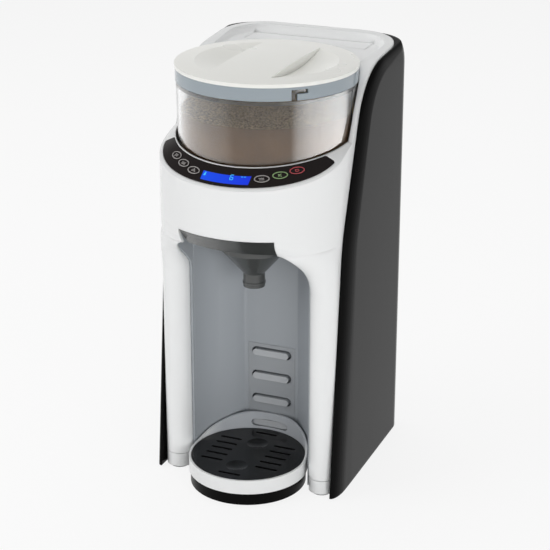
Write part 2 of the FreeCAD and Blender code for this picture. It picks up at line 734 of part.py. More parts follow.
def make_front_shell():
    seat_low = float(s.seat_top) - float(s.seat_thick)
    floor_low = float(s.deck_floor) - float(s.deck_plate)
    shoulder = float(s.shoulder_y)
    well_outer = upright(well_radius + float(s.well_wall), seat_low, HIGH, 0, axis_y)
    outside = under_deck().cut(behind_seam(float(s.flange)))
    # walls of the head and of the deck
    walls = plan_prism(plan_wire(0, nose_low), HIGH - nose_low).common(outside)
    hollow = plan_prism(plan_wire(shell_wall, nose_low - 1), floor_low - nose_low + 1)
    walls = walls.cut(hollow.common(under_deck(shell_wall)))
    # well of the powder container, and the sloping ledge that carries the control panel
    ring = well_outer.common(plan_prism(plan_wire(0, seat_low),
                                        float(s.deck_floor) - seat_low)).common(under_deck())
    lip = fascia_cone().common(head_room(0.0, shoulder))
    ledge = float(s.panel_thick) + float(s.ledge_thick)
    under_ledge = fascia_cone(ledge).common(head_room(shell_wall, shoulder))
    above_lip = head_room(-1.0, shoulder - 6.0).cut(fascia_cone())
    shell = walls.fuse([ring, lip]).cut([under_ledge.cut(well_outer), above_lip])
    shell = shell.fuse(both_sides(make_leg()))
    # the well itself, the dished deck and the opening over the water tank
    shell = shell.cut(upright(well_radius, seat_low - 1, HIGH, 0, axis_y))
    rim, cove = float(s.deck_rim), float(s.deck_top) - float(s.deck_floor)
    spread = float(s.deck_cove)
    dish = Part.makeLoft([plan_wire(rim + spread * (1 - part) ** 2, float(s.deck_floor) + cove * part)
                          for part in (0.0, 0.12, 0.3, 0.55, 1.0)]
                         + [plan_wire(rim, float(s.deck_floor) + 2 * cove)], True, True)
    shell = shell.cut(dish)
    hole_half, hole_front = float(s.cover_half) + gap, float(s.cover_front) - gap
    hole = Part.makeBox(2 * hole_half, float(s.cover_back) + gap - hole_front, 60,
                        V(-hole_half, hole_front, float(s.deck_floor) - 30))
    floor = plan_prism(plan_wire(shell_wall / 2, floor_low), float(s.deck_plate))
    floor = floor.common(under_deck()).cut(upright(well_radius, 0, HIGH, 0, axis_y))
    shell = shell.fuse(floor).cut(hole)
    # hinge lugs of the tank cover, under the deck
    barrel, lug_width = float(s.hinge_barrel), float(s.lug_width)
    hinge_y, hinge_z = float(s.cover_back) - barrel, float(s.deck_floor) - barrel
    lug_in = float(s.cover_half) + gap
    lug = Part.makeBox(lug_width, 2 * barrel + 2, float(s.deck_floor) - 0.5 - hinge_z + barrel,
                       V(lug_in, hinge_y - barrel - 1, hinge_z - barrel))
    shell = shell.fuse(both_sides(lug))
    pin_hole = Part.makeCylinder(float(s.pin_radius), 2 * FAR, V(-FAR, hinge_y, hinge_z), X_AXIS)
    keep = Part.makeBox(2 * lug_in + 10, 8, 12, V(-lug_in - 5, hinge_y - 4, hinge_z - 6))
    shell = shell.cut(pin_hole.common(keep))
    return one_solid(trim_front_shell(shell), "front_shell")


def one_solid(shape, name):
    """The single solid of a joined shape."""
    shape = shape.removeSplitter()
    if len(shape.Solids) != 1 or not shape.isValid():
        raise ValueError("%s has %d solids" % (name, len(shape.Solids)))
    return shape.Solids[0]


def trim_front_shell(shell):
    """Pocket of the control panel, and the openings under it for the keypad and the buttons."""
    thick = float(s.panel_thick)
    ledge = thick + float(s.ledge_thick)
    pocket = crescent(-gap / 3).cut(fascia_cone(thick))
    window = crescent(3.0).cut(fascia_cone(ledge + 1.0))
    keys = [on_cone(oval(gap, -ledge - 0.2, 2), button_radius(number), button_angle(number))
            for number in range(6)]
    return shell.cut(pocket).cut([window] + keys)


# ---------------------------------------------------------------------------------------------
# Black casing, foot caps, base and liner
# ---------------------------------------------------------------------------------------------

def casing_outline(height, half_front, half_back, back, corner):
    """The casing's outline in plan, open ends closed far in front."""
    wide_y = float(s.funnel_y) + 12
    right = [(V(half_front, -FAR, height), 0), (V(half_front, wide_y, height), 40.0),
             (V(half_back, back, height), corner)]
    left = [(V(-point.x, point.y, height), radius) for point, radius in reversed(right)]
    return rounded_wire(right + left)


def roll_steps():
    """The quarter ellipse of the casing's rolled edge: (share of its depth, share of its width) in steps."""
    angles = [math.radians(90 * step / 8) for step in range(9)]
    return [(math.sin(angle), 1 - math.cos(angle)) for angle in angles]


def rolled_edge():
    """What is taken off a casing side so that its edge rolls in towards the seam."""
    wires = []
    start = machine_half - float(s.bevel_in)
    for depth, width in roll_steps():
        x, inset = start + float(s.bevel_in) * depth, float(s.bevel_wide) * width
        corners = [(V(x, y, z), radius) for y, z, radius in seam_line(inset)]
        corners += [(V(x, FAR, HIGH), 0), (V(x, -FAR, HIGH), 0), (V(x, -FAR, corners[0][0].z), 0)]
        wires.append(rounded_wire(corners))
    return Part.makeLoft(wires, True, True)


def make_casing():
    low = 1.2
    half, back = machine_half, float(s.machine_back)
    edge_top = float(s.deck_top) - float(s.seam_drop)
    bevel = float(s.bevel_wide)
    inner_edge = half - float(s.bevel_in)
    corner, top_corner = float(s.casing_corner), float(s.back_corner)
    half_back, top_back = half - float(s.casing_taper), float(s.shell_back) + 3 * gap
    outline = casing_outline(low, half, half_back, back, corner)
    solid = plan_prism(outline, edge_top - bevel - low)
    rounds = []
    for depth, width in reversed(roll_steps()):
        rounds.append(casing_outline(edge_top + 3 - (bevel + 3) * width, half,
                                     inner_edge + (half_back - inner_edge) * depth,
                                     top_back + (back - top_back) * depth,
                                     top_corner + (corner - top_corner) * depth))
    shoulder = Part.makeLoft(rounds, True, True)
    solid = solid.fuse(shoulder).common(behind_seam(0.0))
    solid = solid.cut(both_sides(rolled_edge()))
    solid = solid.cut(plan_prism(plan_wire(-gap, low - 1), HIGH))
    front = Part.makeBox(2 * (head_half + gap), FAR, HIGH, V(-head_half - gap, -FAR, low - 1))
    solid = solid.cut(front)
    wall = float(s.casing_wall)
    thin = plan_prism(casing_outline(5.0, half - wall, half_back - wall, back - wall, corner - wall),
                      float(s.tank_top) - 12)
    solid = solid.cut(thin.common(behind_seam(bevel + 12)))
    tank_gap = float(s.tank_half) + 2 * gap
    opening = Part.makeBox(2 * tank_gap, 20, float(s.tank_top) - float(s.tank_low) + 4 * gap,
                           V(-tank_gap, back - 15, float(s.tank_low) - 2 * gap))
    inlet = inlet_box(gap)
    return one_solid(solid.cut([opening, inlet]), "rear_casing")


def inlet_box(margin):
    """The room for the mains inlet in the casing's back."""
    return Part.makeBox(27.0 + 2 * margin, 30, 20.0 + 2 * margin,
                        V(float(s.dock_x) - 13.5 - margin, float(s.machine_back) - 22, 12.0 - margin))


def make_foot_cap():
    return one_solid(leg_column(float(s.foot_height), float(s.cap_top) - 0.4)
                     .cut(behind_seam(float(s.flange))), "foot_cap")


def bay_path(inset, height):
    """The outline of the bay's liner in plan, from its right front edge to its left front edge."""
    side = leg_inner - gap - inset
    bow = float(s.bay_bow_half) - inset
    back_half = float(s.bay_back_half) - inset * 0.8
    back = float(s.bay_back) - inset
    corner = float(s.bay_corner)
    front_y = float(s.leg_mid) + 1
    right = [(V(side, front_y, height), 0), (V(bow, float(s.bay_bow_y), height), 50.0),
             (V(back_half, back, height), corner)]
    left = [(V(-point.x, point.y, height), radius) for point, radius in reversed(right)]
    return right + left


def bay_prism(inset, low, high):
    """The room inside the liner's outline."""
    wire = rounded_wire(bay_path(inset, low))
    return plan_prism(wire, high - low)


def liner_ears():
    """Upper front corners of the liner: plates that follow the back of the flare's skin up to the head."""
    wall = float(s.liner_wall)
    outer = leg_inner - gap
    front = float(s.leg_mid) + 1
    profile = [(front, float(s.leg_top) - 5, 0)]
    for height in flare_heights():
        skin_back = max(front_at(height, outer), front_at(height, outer - wall)) + float(s.flare_skin)
        profile.append((min(front, skin_back + 2 * gap), height - gap, 0))
    profile += [(front + 2, nose_low - gap, 0), (front + 2, float(s.leg_top) - 5, 0)]
    plate = side_prism(profile, outer)
    return plate.cut(Part.makeBox(2 * (outer - wall), 2 * FAR, 2 * FAR, V(wall - outer, -FAR, 0)))


def make_liner():
    """Side and back walls of the bottle bay, with the ceiling that closes the head from below."""
    low, wall = float(s.foot_height), float(s.liner_wall)
    ceiling_low = nose_low + gap
    high = ceiling_low + wall
    drawer_side = float(s.drawer_half) + gap
    walls = bay_prism(0.0, low, high).cut(bay_prism(wall, low - 1, high + 1))
    mouth_half = leg_inner - gap - wall
    mouth = Part.makeBox(2 * mouth_half, 4, high, V(-mouth_half, float(s.leg_mid), low - 1))
    drawer_room = Part.makeBox(2 * drawer_side, FAR, FAR,
                               V(-drawer_side, gap - FAR, float(s.drawer_low) - 2 * gap))
    under_roof = Part.makeBox(2 * FAR, FAR, FAR, V(-FAR, leg_back + gap - FAR, nose_low - gap))
    rail_half = float(s.rail_half) + gap / 3
    rail_room = Part.makeBox(2 * rail_half, 20, float(s.rail_top) + gap / 3, V(-rail_half, -10, 0))
    walls = walls.cut([mouth, drawer_room, under_roof, rail_room]).fuse(liner_ears())
    behind = Part.makeBox(2 * FAR, FAR, wall, V(-FAR, leg_back + gap, ceiling_low))
    ceiling = behind.common(bay_prism(0.0, ceiling_low, high))
    nose = plan_prism(plan_wire(shell_wall + gap, ceiling_low), wall)
    half = float(s.drawer_half)
    strip = Part.makeBox(2 * half, FAR, wall, V(-half, leg_back + gap + 1 - FAR, ceiling_low))
    ceiling = ceiling.fuse(nose.common(strip))
    path_y = float(s.funnel_y)
    ceiling = ceiling.cut([upright(float(s.chute_radius) + gap, 0, high + 1, 0, path_y),
                           upright(float(s.nozzle_tube) + gap, 0, high + 1, float(s.nozzle_x), path_y)])
    return one_solid(walls.fuse(ceiling), "bay_liner")


def make_base_plate():
    low = float(s.foot_height)
    thick = float(s.base_thick_plate)
    plate = plan_prism(plan_wire(0.0, low), thick)
    plate = plate.common(Part.makeBox(2 * FAR, FAR, 20, V(-FAR, float(s.leg_mid) + 1, 0)))
    plate = plate.cut(bay_prism(-gap, low - 1, low + 10))
    plate = plate.cut([upright(1.55, 0, 20, x, y) for x, y in base_screw_places()])
    return one_solid(plate, "base_plate")


def base_screw_places():
    y = float(s.chassis_y) - 10
    return [(x, y) for x in (-55.0, -20.0, 20.0, 55.0)]


# ---------------------------------------------------------------------------------------------
# Control panel
# ---------------------------------------------------------------------------------------------

def on_cone(shape, radius, angle):
    """Moves a shape from its own XY plane onto the fascia cone; the angle is taken from the front."""
    slope = float(s.cone_slope)
    drop = (radius - float(s.rim_radius)) * math.tan(math.radians(slope))
    shape.rotate(ORIGIN, X_AXIS, slope)
    shape.translate(V(0, -radius, -drop))
    shape.rotate(ORIGIN, Z_AXIS, angle)
    shape.rotate(ORIGIN, X_AXIS, float(s.rim_slope))
    shape.translate(V(0, axis_y, float(s.rim_height)))
    return shape


def oval(margin, low, high):
    """An upright oval prism, drawn about the origin."""
    curve = Part.Ellipse(V(0, 0, low), float(s.button_long) / 2 + margin, float(s.button_short) / 2 + margin)
    return plan_prism(Part.Wire([curve.toShape()]), high - low)


def button_angle(number):
    """Buttons 0 to 2 lie left of the display, from outside in; 3 to 5 right of it, from inside out."""
    first, step = float(s.button_first), float(s.button_step)
    return [-first - 2 * step, -first - step, -first, first, first + step, first + 2 * step][number]


def button_radius(number):
    """Distance of a button from the fascia cone's axis; the outer ones lie nearer the panel's inner edge."""
    step = [2, 1, 0, 0, 1, 2][number]
    return float(s.panel_inner) + float(s.button_in) - float(s.button_draw) * step


def make_button(number):
    proud = float(s.button_proud)
    button = oval(0.0, proud - float(s.button_thick), proud)
    rim = max(button.Edges, key=lambda edge: edge.CenterOfMass.z)
    button = button.makeFillet(0.4, [rim])
    return on_cone(button, button_radius(number), button_angle(number))


def window_prism(margin):
    half = float(s.window_half) + margin
    inner = float(s.panel_inner) + float(s.window_in) - margin
    outer = inner + float(s.window_deep) + 2 * margin
    ring = upright(outer, ledge_low, HIGH, 0, axis_y).cut(upright(inner, 0, HIGH + 1, 0, axis_y))
    return ring.common(Part.makeBox(2 * half, FAR, HIGH - ledge_low, V(-half, axis_y - FAR, ledge_low)))


def make_fascia():
    panel = crescent(0.0).common(fascia_cone()).cut(fascia_cone(float(s.panel_thick)))
    panel = panel.cut(window_prism(gap / 3))
    holes = [on_cone(oval(gap, -6, 6), button_radius(number), button_angle(number)) for number in range(6)]
    return one_solid(panel.cut(holes), "fascia")


def make_window():
    panel = window_prism(0.0).common(fascia_cone()).cut(fascia_cone(float(s.panel_thick)))
    return one_solid(panel, "display_window")


def keypad_depth():
    """The mat lies against the underside of the ledge."""
    return float(s.panel_thick) + float(s.ledge_thick) + 0.2


def make_keypad():
    depth = keypad_depth()
    mat = crescent(1.8).common(fascia_cone(depth)).cut(fascia_cone(depth + float(s.keypad_thick)))
    return one_solid(mat, "keypad_mat")


def make_display_board():
    """A narrow board under the keypad mat, midway between the well and the shell's wall."""
    half_length, forward = float(s.window_half), 5.0
    thick = float(s.board_thick)
    ring = button_radius(2)
    bend = ring / math.sin(math.radians(float(s.cone_slope)))
    depth = keypad_depth() + float(s.keypad_thick) + 2 * gap + half_length * half_length / (2 * bend)
    board = Part.makeBox(2 * half_length, 6, thick, V(-half_length, -forward - 3, -depth - thick))
    chip = Part.makeBox(9, 2.6, 1.2, V(-4.5, -forward - 3, -depth - thick - 1.2))
    return one_solid(on_cone(board.fuse(chip), ring, 0.0), "display_board")


# ---------------------------------------------------------------------------------------------
# Powder container, its lid and the dosing drive
# ---------------------------------------------------------------------------------------------

container_low = s.seat_top + s.gap
wheel_low = container_low + s.base_thick + s.gap
low_radius = s.container_radius - s.container_taper
bottom_radius = low_radius - s.heel_in - s.container_wall * 1.3
hub_hole = s.hub_flats * 0.75
motor_y = s.axis_y + s.gear_module * (s.gear_teeth + s.pinion_teeth) / 2


def make_container():
    inner_neck = s.neck_radius - s.container_wall
    body = turned("powder_container", [
        (bottom_radius, container_low),
        (low_radius - s.heel_in, container_low),
        (low_radius, container_low + s.container_heel),
        (s.container_radius, s.neck_low),
        (s.neck_radius, s.neck_low),
        (s.neck_radius, s.neck_top),
        (inner_neck, s.neck_top),
        (inner_neck, s.neck_low - s.container_wall / 2),
        (s.container_radius - s.container_wall, s.neck_low - s.container_wall * 1.5),
        (low_radius - s.container_wall, container_low + s.container_heel + 1),
    ], 0, s.axis_y)
    return fuse("container_with_lugs", body, *[bayonet_lug(number) for number in range(3)])


def turn_about_axis(obj, angle):
    """Turns an object that was drawn about the container's axis."""
    obj.Placement = FreeCAD.Placement(V(0, axis_y, 0), FreeCAD.Rotation(Z_AXIS, angle))
    bind(obj, "Placement.Base.y", s.axis_y)
    return obj


def common(name, base, tool):
    both = doc.addObject("Part::Common", name)
    both.Base = base
    both.Tool = tool
    return both


def bayonet_lug(number):
    """A lug on the container's neck, drawn towards -Y and then turned into place."""
    low = s.neck_top - s.lug_high - 1
    lug = rod("lug_ring_%d" % number, s.neck_radius + 2.2, s.lug_high, 0, 0, low)
    keep = block("lug_keep_%d" % number, (-s.lug_half, s.lug_half), (-s.neck_radius - 4, 1 - s.neck_radius),
                 (low, low + s.lug_high))
    return turn_about_axis(common("lug_%d" % number, lug, keep), float(s.lug_angle) + 120 * number)


def bayonet_slot(number):
    """The L-shaped slot that takes a lug: open at the collar's foot, with a level leg one twist long."""
    low = s.neck_top - s.lug_high - 1.6
    high = low + s.lug_high + 1.2
    front = (-s.collar_radius - 2, 4 - s.collar_radius)
    across = (-s.lug_half - s.gap, s.lug_half + s.gap)
    parts = [block("slot_mouth_%d" % number, across, front, (s.collar_low - 1, high))]
    steps = 4
    for step in range(1, steps + 1):
        leg = block("slot_leg_%d_%d" % (number, step), across, front, (low, high))
        turned_leg = compound("slot_turn_%d_%d" % (number, step), leg)
        turn = FreeCAD.Rotation(Z_AXIS, float(s.lid_turn) * step / steps)
        turned_leg.Placement = FreeCAD.Placement(ORIGIN, turn)
        parts.append(turned_leg)
    return turn_about_axis(fuse("slot_%d" % number, *parts), float(s.lug_angle) + 120 * number)


def ball(name, radius, z):
    """A ball on the container's axis with its centre at height z."""
    sphere = doc.addObject("Part::Sphere", name)
    bind(sphere, "Radius", radius)
    return place(sphere, 0, s.axis_y, z)


def make_lid():
    """A shallow dome with a dish sunk into it on both sides of a straight grip."""
    y, low, skin = s.axis_y, s.lid_low, s.lid_skin
    rise = s.grip_top - s.lid_top
    dome_radius = (s.lid_radius * s.lid_radius + rise * rise) / (rise * 2)
    dome_z = s.grip_top - dome_radius
    floor = s.grip_top - s.recess_depth
    share = s.recess_radius / s.lid_radius
    depth = s.recess_depth - rise * share * share
    dish_radius = (s.recess_radius * s.recess_radius + depth * depth) / (depth * 2)
    dish_z = floor + dish_radius
    plate = common("lid_plate", rod("lid_plate_round", s.lid_radius, FAR, 0, y, low),
                   ball("lid_dome", dome_radius, dome_z))
    bowl_round = rod("lid_bowl_round", s.recess_radius + skin, low - floor + skin + 1, 0, y,
                     floor - skin - 1)
    bowl = common("lid_bowl", bowl_round, ball("lid_bowl_ball", dish_radius + skin, dish_z))
    across = (y - FAR, y + FAR)
    scoop = cut("lid_scoop", ball("lid_dish", dish_radius, dish_z),
                block("lid_grip_keep", (-s.grip_half, s.grip_half), across, (floor - 1, s.grip_top + 1)))
    under_round = rod("lid_under_round", s.recess_radius - 3, FAR, 0, y, s.grip_top - FAR)
    under_block = block("lid_under_block", (skin - s.grip_half, s.grip_half - skin), across,
                        (s.grip_top - FAR, s.grip_top))
    under = common("lid_under", common("lid_grip_room", under_round, under_block),
                   ball("lid_under_ball", dome_radius - skin, dome_z))
    return cut("lid", fuse("lid_solid", plate, bowl), scoop, under)


def make_collar():
    ring = turned("lid_collar", [
        (s.neck_radius + s.gap, s.collar_low), (s.collar_radius, s.collar_low),
        (s.collar_radius, s.lid_low), (s.neck_radius + s.gap, s.lid_low)], 0, s.axis_y)
    return cut("lid_collar", ring, *[bayonet_slot(number) for number in range(3)])


def make_gasket():
    low = s.neck_top + s.gap
    high = s.lid_low - s.gap
    return turned("lid_gasket", [
        (s.neck_radius - s.container_wall, low), (s.neck_radius - s.gap, low),
        (s.neck_radius - s.gap, high), (s.neck_radius - s.container_wall, high)], 0, s.axis_y)


def make_container_base():
    y, low = s.axis_y, container_low
    plate = rod("base_disc", bottom_radius - 0.1, s.base_thick, 0, y, low)
    start, length = low - s.base_thick, s.base_thick * 3
    return cut("container_base", plate, rod("base_hub_hole", hub_hole, length, 0, y, start),
               rod("base_outlet", s.pocket_radius, length, 0, y - s.outlet_radius, start))


def make_powder():
    side = s.container_radius - s.container_wall - s.gap
    slope = s.container_taper / (s.neck_low - container_low - s.container_heel)
    return turned("formula_powder", [
        (0, s.powder_low), (side - slope * (s.neck_low - s.powder_low), s.powder_low),
        (side - slope * (s.neck_low - s.powder_high), s.powder_high), (0, s.powder_high)], 0, s.axis_y)


def hub_socket(name, low, high):
    """A square hole about the drive axis, a loose fit on the hub's flats."""
    half = s.hub_flats / 2 + s.gap / 2
    return block(name, (-half, half), (s.axis_y - half, s.axis_y + half), (low, high))


def make_wheel():
    high = wheel_low + s.wheel_thick
    body = turned("powder_wheel", [
        (0, wheel_low), (s.wheel_radius, wheel_low), (s.wheel_radius, high), (0, high)], 0, s.axis_y)
    pocket = circle_sketch(body, "wheel_pocket", s.pocket_radius, 0, -s.outlet_radius, wheel_low)
    ring_of_pockets(body, "wheel_pockets", pocket, s.pocket_count)
    return cut("powder_wheel", body, hub_socket("wheel_socket", wheel_low - 1, high + 1))


def make_stirrer():
    low = wheel_low + s.wheel_thick
    high = low + 8
    hub = rod("stirrer_hub", s.hub_flats, high - low, 0, s.axis_y, low)
    arms = []
    for number in range(3):
        arm = block("stirrer_arm_%d" % number, (-3, 3), (-s.stirrer_reach, 0),
                    (high - s.stirrer_thick, high))
        tip = block("stirrer_tip_%d" % number, (-3, 3), (-s.stirrer_reach, 4 - s.stirrer_reach),
                    (low + 0.6, high))
        arms.append(turn_about_axis(fuse("stirrer_blade_%d" % number, arm, tip), 60 + 120 * number))
    return cut("stirrer", fuse("stirrer_solid", hub, *arms), hub_socket("stirrer_socket", low - 1, high - 2))


def post_places():
    return [(x, y) for x in (-s.post_x, s.post_x) for y in (s.post_front, s.post_back)]


def make_seat():
    low = s.seat_top - s.seat_thick
    plate = rod("seat_disc", s.well_radius - s.gap / 3, s.seat_thick, 0, s.axis_y, low)
    holes = [rod("seat_hub_hole", hub_hole, s.seat_thick + 2, 0, s.axis_y, low - 1),
             rod("seat_outlet", s.pocket_radius, s.seat_thick + 2, 0, s.funnel_y, low - 1)]
    for number, (x, y) in enumerate(post_places()):
        holes.append(rod("seat_screw_%d" % number, s.screw_shank, s.seat_thick + 2, x, y, low - 1))
        holes.append(rod("seat_sink_%d" % number, s.screw_head + 0.2, 3, x, y, s.seat_top - 2))
    return cut("container_seat", plate, *holes)


def make_bracket():
    low, seat = s.bracket_low, s.seat_top - s.seat_thick
    plate = block("bracket_plate", (-s.post_x - 4, s.post_x + 4), (s.post_front - 4, s.post_back + 4),
                  (low, low + s.bracket_thick))
    posts = [rod("bracket_post_%d" % number, s.post_radius, seat - low, x, y, low)
             for number, (x, y) in enumerate(post_places())]
    bores = [rod("bracket_bore_%d" % number, s.screw_shank, seat - low, x, y, seat - 9)
             for number, (x, y) in enumerate(post_places())]
    holes = [rod("bracket_bush_hole", s.journal_radius + s.bush_wall, 9, 0, s.axis_y, low - 1),
             rod("bracket_shaft_hole", s.shaft_radius + s.gap * 2, 9, 0, motor_y, low - 1)]
    return cut("motor_bracket", fuse("bracket_solid", plate, *posts), *(holes + bores))


def make_bush():
    y, high = s.axis_y, s.gear_low - s.gap
    outside = rod("bush_outside", s.journal_radius + s.bush_wall, high - s.bracket_low, 0, y, s.bracket_low)
    return cut("drive_bush", outside,
               rod("bush_bore", s.journal_radius + s.fit, FAR, 0, y, s.bracket_low - 1))


def make_hub():
    y = s.axis_y
    half = s.hub_flats / 2
    low = s.bracket_low + s.gap
    journal = rod("hub_journal", s.journal_radius, s.gear_low - low, 0, y, low)
    square = block("hub_square", (-half, half), (y - half, y + half),
                   (s.gear_low, wheel_low + s.wheel_thick + 4))
    return fuse("drive_hub", journal, square)


def involute(angle):
    return math.tan(angle) - angle


def gear_shape(teeth):
    """An involute spur gear drawn about the Z axis, with a tooth centred on +X."""
    module, pressure, backlash = float(s.gear_module), math.radians(20), 0.12
    pitch = module * teeth / 2
    base, tip, root = pitch * math.cos(pressure), pitch + 0.9 * module, pitch - 1.2 * module
    start = max(base, root)
    half_tooth = (math.pi * module / 2 - backlash) / (2 * pitch)
    radii = [start + (tip - start) * step / 4 for step in range(5)]

    def flank(radius, side):
        turn = half_tooth + involute(pressure) - involute(math.acos(min(base / radius, 1.0)))
        return V(radius * math.cos(turn), side * radius * math.sin(turn), 0)

    edges = []
    half_pitch = math.pi / teeth
    for number in range(teeth):
        turn = FreeCAD.Rotation(Z_AXIS, 360.0 * number / teeth)
        after = FreeCAD.Rotation(Z_AXIS, 360.0 * (number + 1) / teeth)
        rise = [turn.multVec(flank(radius, -1)) for radius in radii]
        fall = [turn.multVec(flank(radius, 1)) for radius in reversed(radii)]
        curves = [Part.BSplineCurve(), Part.BSplineCurve()]
        curves[0].interpolate(rise)
        curves[1].interpolate(fall)
        middle = turn.multVec(V(root * math.cos(half_pitch), root * math.sin(half_pitch), 0))
        edges += [curves[0].toShape(), Part.LineSegment(rise[-1], fall[0]).toShape(), curves[1].toShape(),
                  Part.Arc(fall[-1], middle, after.multVec(flank(start, -1))).toShape()]
    return Part.Face(Part.Wire(edges)).extrude(Z_AXIS * float(s.gear_thick))


def make_drive_gear():
    gear = gear_shape(int(float(s.gear_teeth)))
    half = float(s.hub_flats) / 2
    gear = gear.cut(Part.makeBox(2 * half, 2 * half, 40, V(-half, -half, -10)))
    gear.translate(V(0, axis_y, float(s.gear_low)))
    return gear


def make_pinion():
    teeth = int(float(s.pinion_teeth))
    pinion = gear_shape(teeth)
    pinion.rotate(ORIGIN, Z_AXIS, 180.0 / teeth)
    shaft_length = float(s.gear_low) - float(s.bracket_low) + 7
    pinion = pinion.fuse(Part.makeCylinder(float(s.shaft_radius), shaft_length, V(0, 0, -shaft_length)))
    pinion.translate(V(0, float(motor_y), float(s.gear_low)))
    return pinion


def make_motor():
    case = rod("motor_case", s.motor_radius, s.motor_height, 0, motor_y, s.bracket_low - s.motor_height)
    neck = rod("motor_gearbox_step", s.motor_radius - 2.5, 4, 0, motor_y, s.bracket_low - s.motor_height - 4)
    bore = rod("motor_bore", s.shaft_radius + s.fit, FAR, 0, motor_y, s.bracket_low - 7 - s.gap)
    return cut("gear_motor", fuse("motor_solid", case, neck), bore)


def make_chute():
    seat = s.seat_top - s.seat_thick
    low = s.nose_low + 1
    inner = s.chute_radius - 1.8
    return turned("powder_chute", [
        (inner, low), (s.chute_radius, low), (s.chute_radius, seat - 2), (s.chute_radius + 3, seat - 2),
        (s.chute_radius + 3, seat), (inner, seat)], 0, s.funnel_y)


# ---------------------------------------------------------------------------------------------
# Drawer with the mixing funnel
# ---------------------------------------------------------------------------------------------

def drawer_sector(low, high, shift_low, shift_high, draw_low, draw_high):
    """The drawer's front between two heights: round in front as the head, flat behind.

    At each height it is shifted back, and drawn in at its sides, by the two amounts given."""
    wires = []
    for height, shift, draw in ((low, shift_low, draw_low), (high, shift_high, draw_high)):
        half = float(s.drawer_half) - draw
        points = [V(half * part,
                    head_mid - head_depth * math.cos(math.asin(half * part / head_half)) + shift,
                    height) for part in (-1, -0.75, -0.5, -0.25, 0, 0.25, 0.5, 0.75, 1)]
        front = Part.BSplineCurve()
        front.interpolate(points)
        back_y = points[-1].y + 14
        corners = [points[-1], V(half, back_y, height), V(-half, back_y, height), points[0]]
        sides = [Part.LineSegment(corners[step], corners[step + 1]).toShape() for step in range(3)]
        wires.append(Part.Wire([front.toShape()] + sides))
    return Part.makeLoft(wires, True, True)


def make_drawer():
    wall = float(s.drawer_wall)
    low, high = float(s.drawer_low), nose_low - gap
    slant = float(s.drawer_slant)
    draw = float(s.drawer_draw)
    whole = drawer_sector(low, high, slant, 0, draw, 0)
    hollow = whole.copy()
    hollow.translate(V(0, wall * 1.4, 0))
    above_floor = Part.makeBox(2 * FAR, 2 * FAR, high, V(-FAR, -FAR, low + wall))
    front = whole.cut(hollow.common(above_floor))
    side = float(s.drawer_side)
    back = float(s.drawer_back)
    flange_low = float(s.runner_low) + float(s.runner_foot) + gap
    start = head_mid - head_depth * math.cos(math.asin(float(s.drawer_half) / head_half)) + slant
    box_high = flange_low + 2.2 - low
    length = back - start - wall
    tray = Part.makeBox(2 * side, length, box_high, V(-side, start + wall, low))
    tray = tray.cut(Part.makeBox(2 * (side - wall), length - wall, box_high,
                                 V(wall - side, start + wall, low + wall)))
    flanges = Part.makeBox(2 * (side + 3), length, 2.2, V(-side - 3, start + wall, flange_low))
    flanges = flanges.cut(Part.makeBox(2 * side - 0.2, length, 4,
                                       V(0.1 - side, start + wall, flange_low - 1)))
    drawer = tray.fuse([flanges, front])
    drawer = drawer.cut(upright(float(s.funnel_top) + gap, low - 1, low + 40, 0, float(s.funnel_y)))
    return one_solid(drawer, "funnel_holder")


def make_runner(side):
    """An L-shaped runner under the ceiling of the bay; side is 1 or -1."""
    web = s.drawer_half - 1.4
    outer = s.drawer_half
    foot_in = s.drawer_side + s.gap
    front, back = -98.0, s.drawer_back - 2
    x_web = (web, outer) if side > 0 else (-outer, -web)
    x_foot = (foot_in, outer) if side > 0 else (-outer, -foot_in)
    name = "runner_right" if side > 0 else "runner_left"
    return fuse(name, block(name + "_web", x_web, (front, back), (s.runner_low, s.nose_low + s.gap)),
                block(name + "_foot", x_foot, (front, back), (s.runner_low, s.runner_low + s.runner_foot)))


def make_funnel():
    wall = s.funnel_wall
    seat = s.drawer_low + s.drawer_wall + s.gap
    mouth, cone = s.funnel_top - wall, s.funnel_cone_z
    bead, low, radius = s.nozzle_bead, s.nozzle_low, s.nozzle_radius
    return turned("funnel", [
        (mouth, seat + 1.8), (s.funnel_rim, seat + 1.8), (s.funnel_rim, seat), (s.funnel_top, seat),
        (s.funnel_top, cone), (radius, s.funnel_neck_z), (radius, low + bead * 9),
        (radius + bead, low + bead * 8), (radius + bead, low + bead * 5), (radius, low + bead * 4),
        (radius, low),
        (radius - wall, low), (radius - wall, s.funnel_neck_z + wall / 2),
        (mouth, cone + wall / 2)], 0, s.funnel_y)


# ---------------------------------------------------------------------------------------------
# Bottle tray on its rail
# ---------------------------------------------------------------------------------------------

def round_bar(name, half, height, y, middle):
    """A bar along X with round ends, from y[0] to y[1], centred at height middle."""
    radius = height / 2
    body = block(name + "_body", (radius - half, half - radius), y, (middle - radius, middle + radius))
    ends = [rod("%s_end_%d" % (name, number), radius, size_of(y[1]) - y[0], x, y[0], middle, "y")
            for number, x in enumerate((half - radius, radius - half))]
    return fuse(name, body, *ends)


def make_tray_rail():
    face = s.bay_back - s.liner_wall
    back = face + s.rail_depth
    low = s.foot_height + s.base_thick_plate
    base = block("rail_base", (-s.rail_half, s.rail_half), (face, back), (low, s.rail_top))
    pockets, bars = [], []
    for number in range(int(float(s.bar_count))):
        middle = s.bar_first + s.bar_pitch * number
        pockets.append(round_bar("rail_pocket_%d" % number, s.bar_half + 2.0, s.bar_height + 2.6,
                                 (face - 1, back - 3), middle))
        bars.append(round_bar("rail_bar_%d" % number, s.bar_half, s.bar_height,
                              (face - s.bar_reach, back - 3),
                              middle))
    return fuse("tray_rail", cut("rail_with_pockets", base, *pockets), *bars)


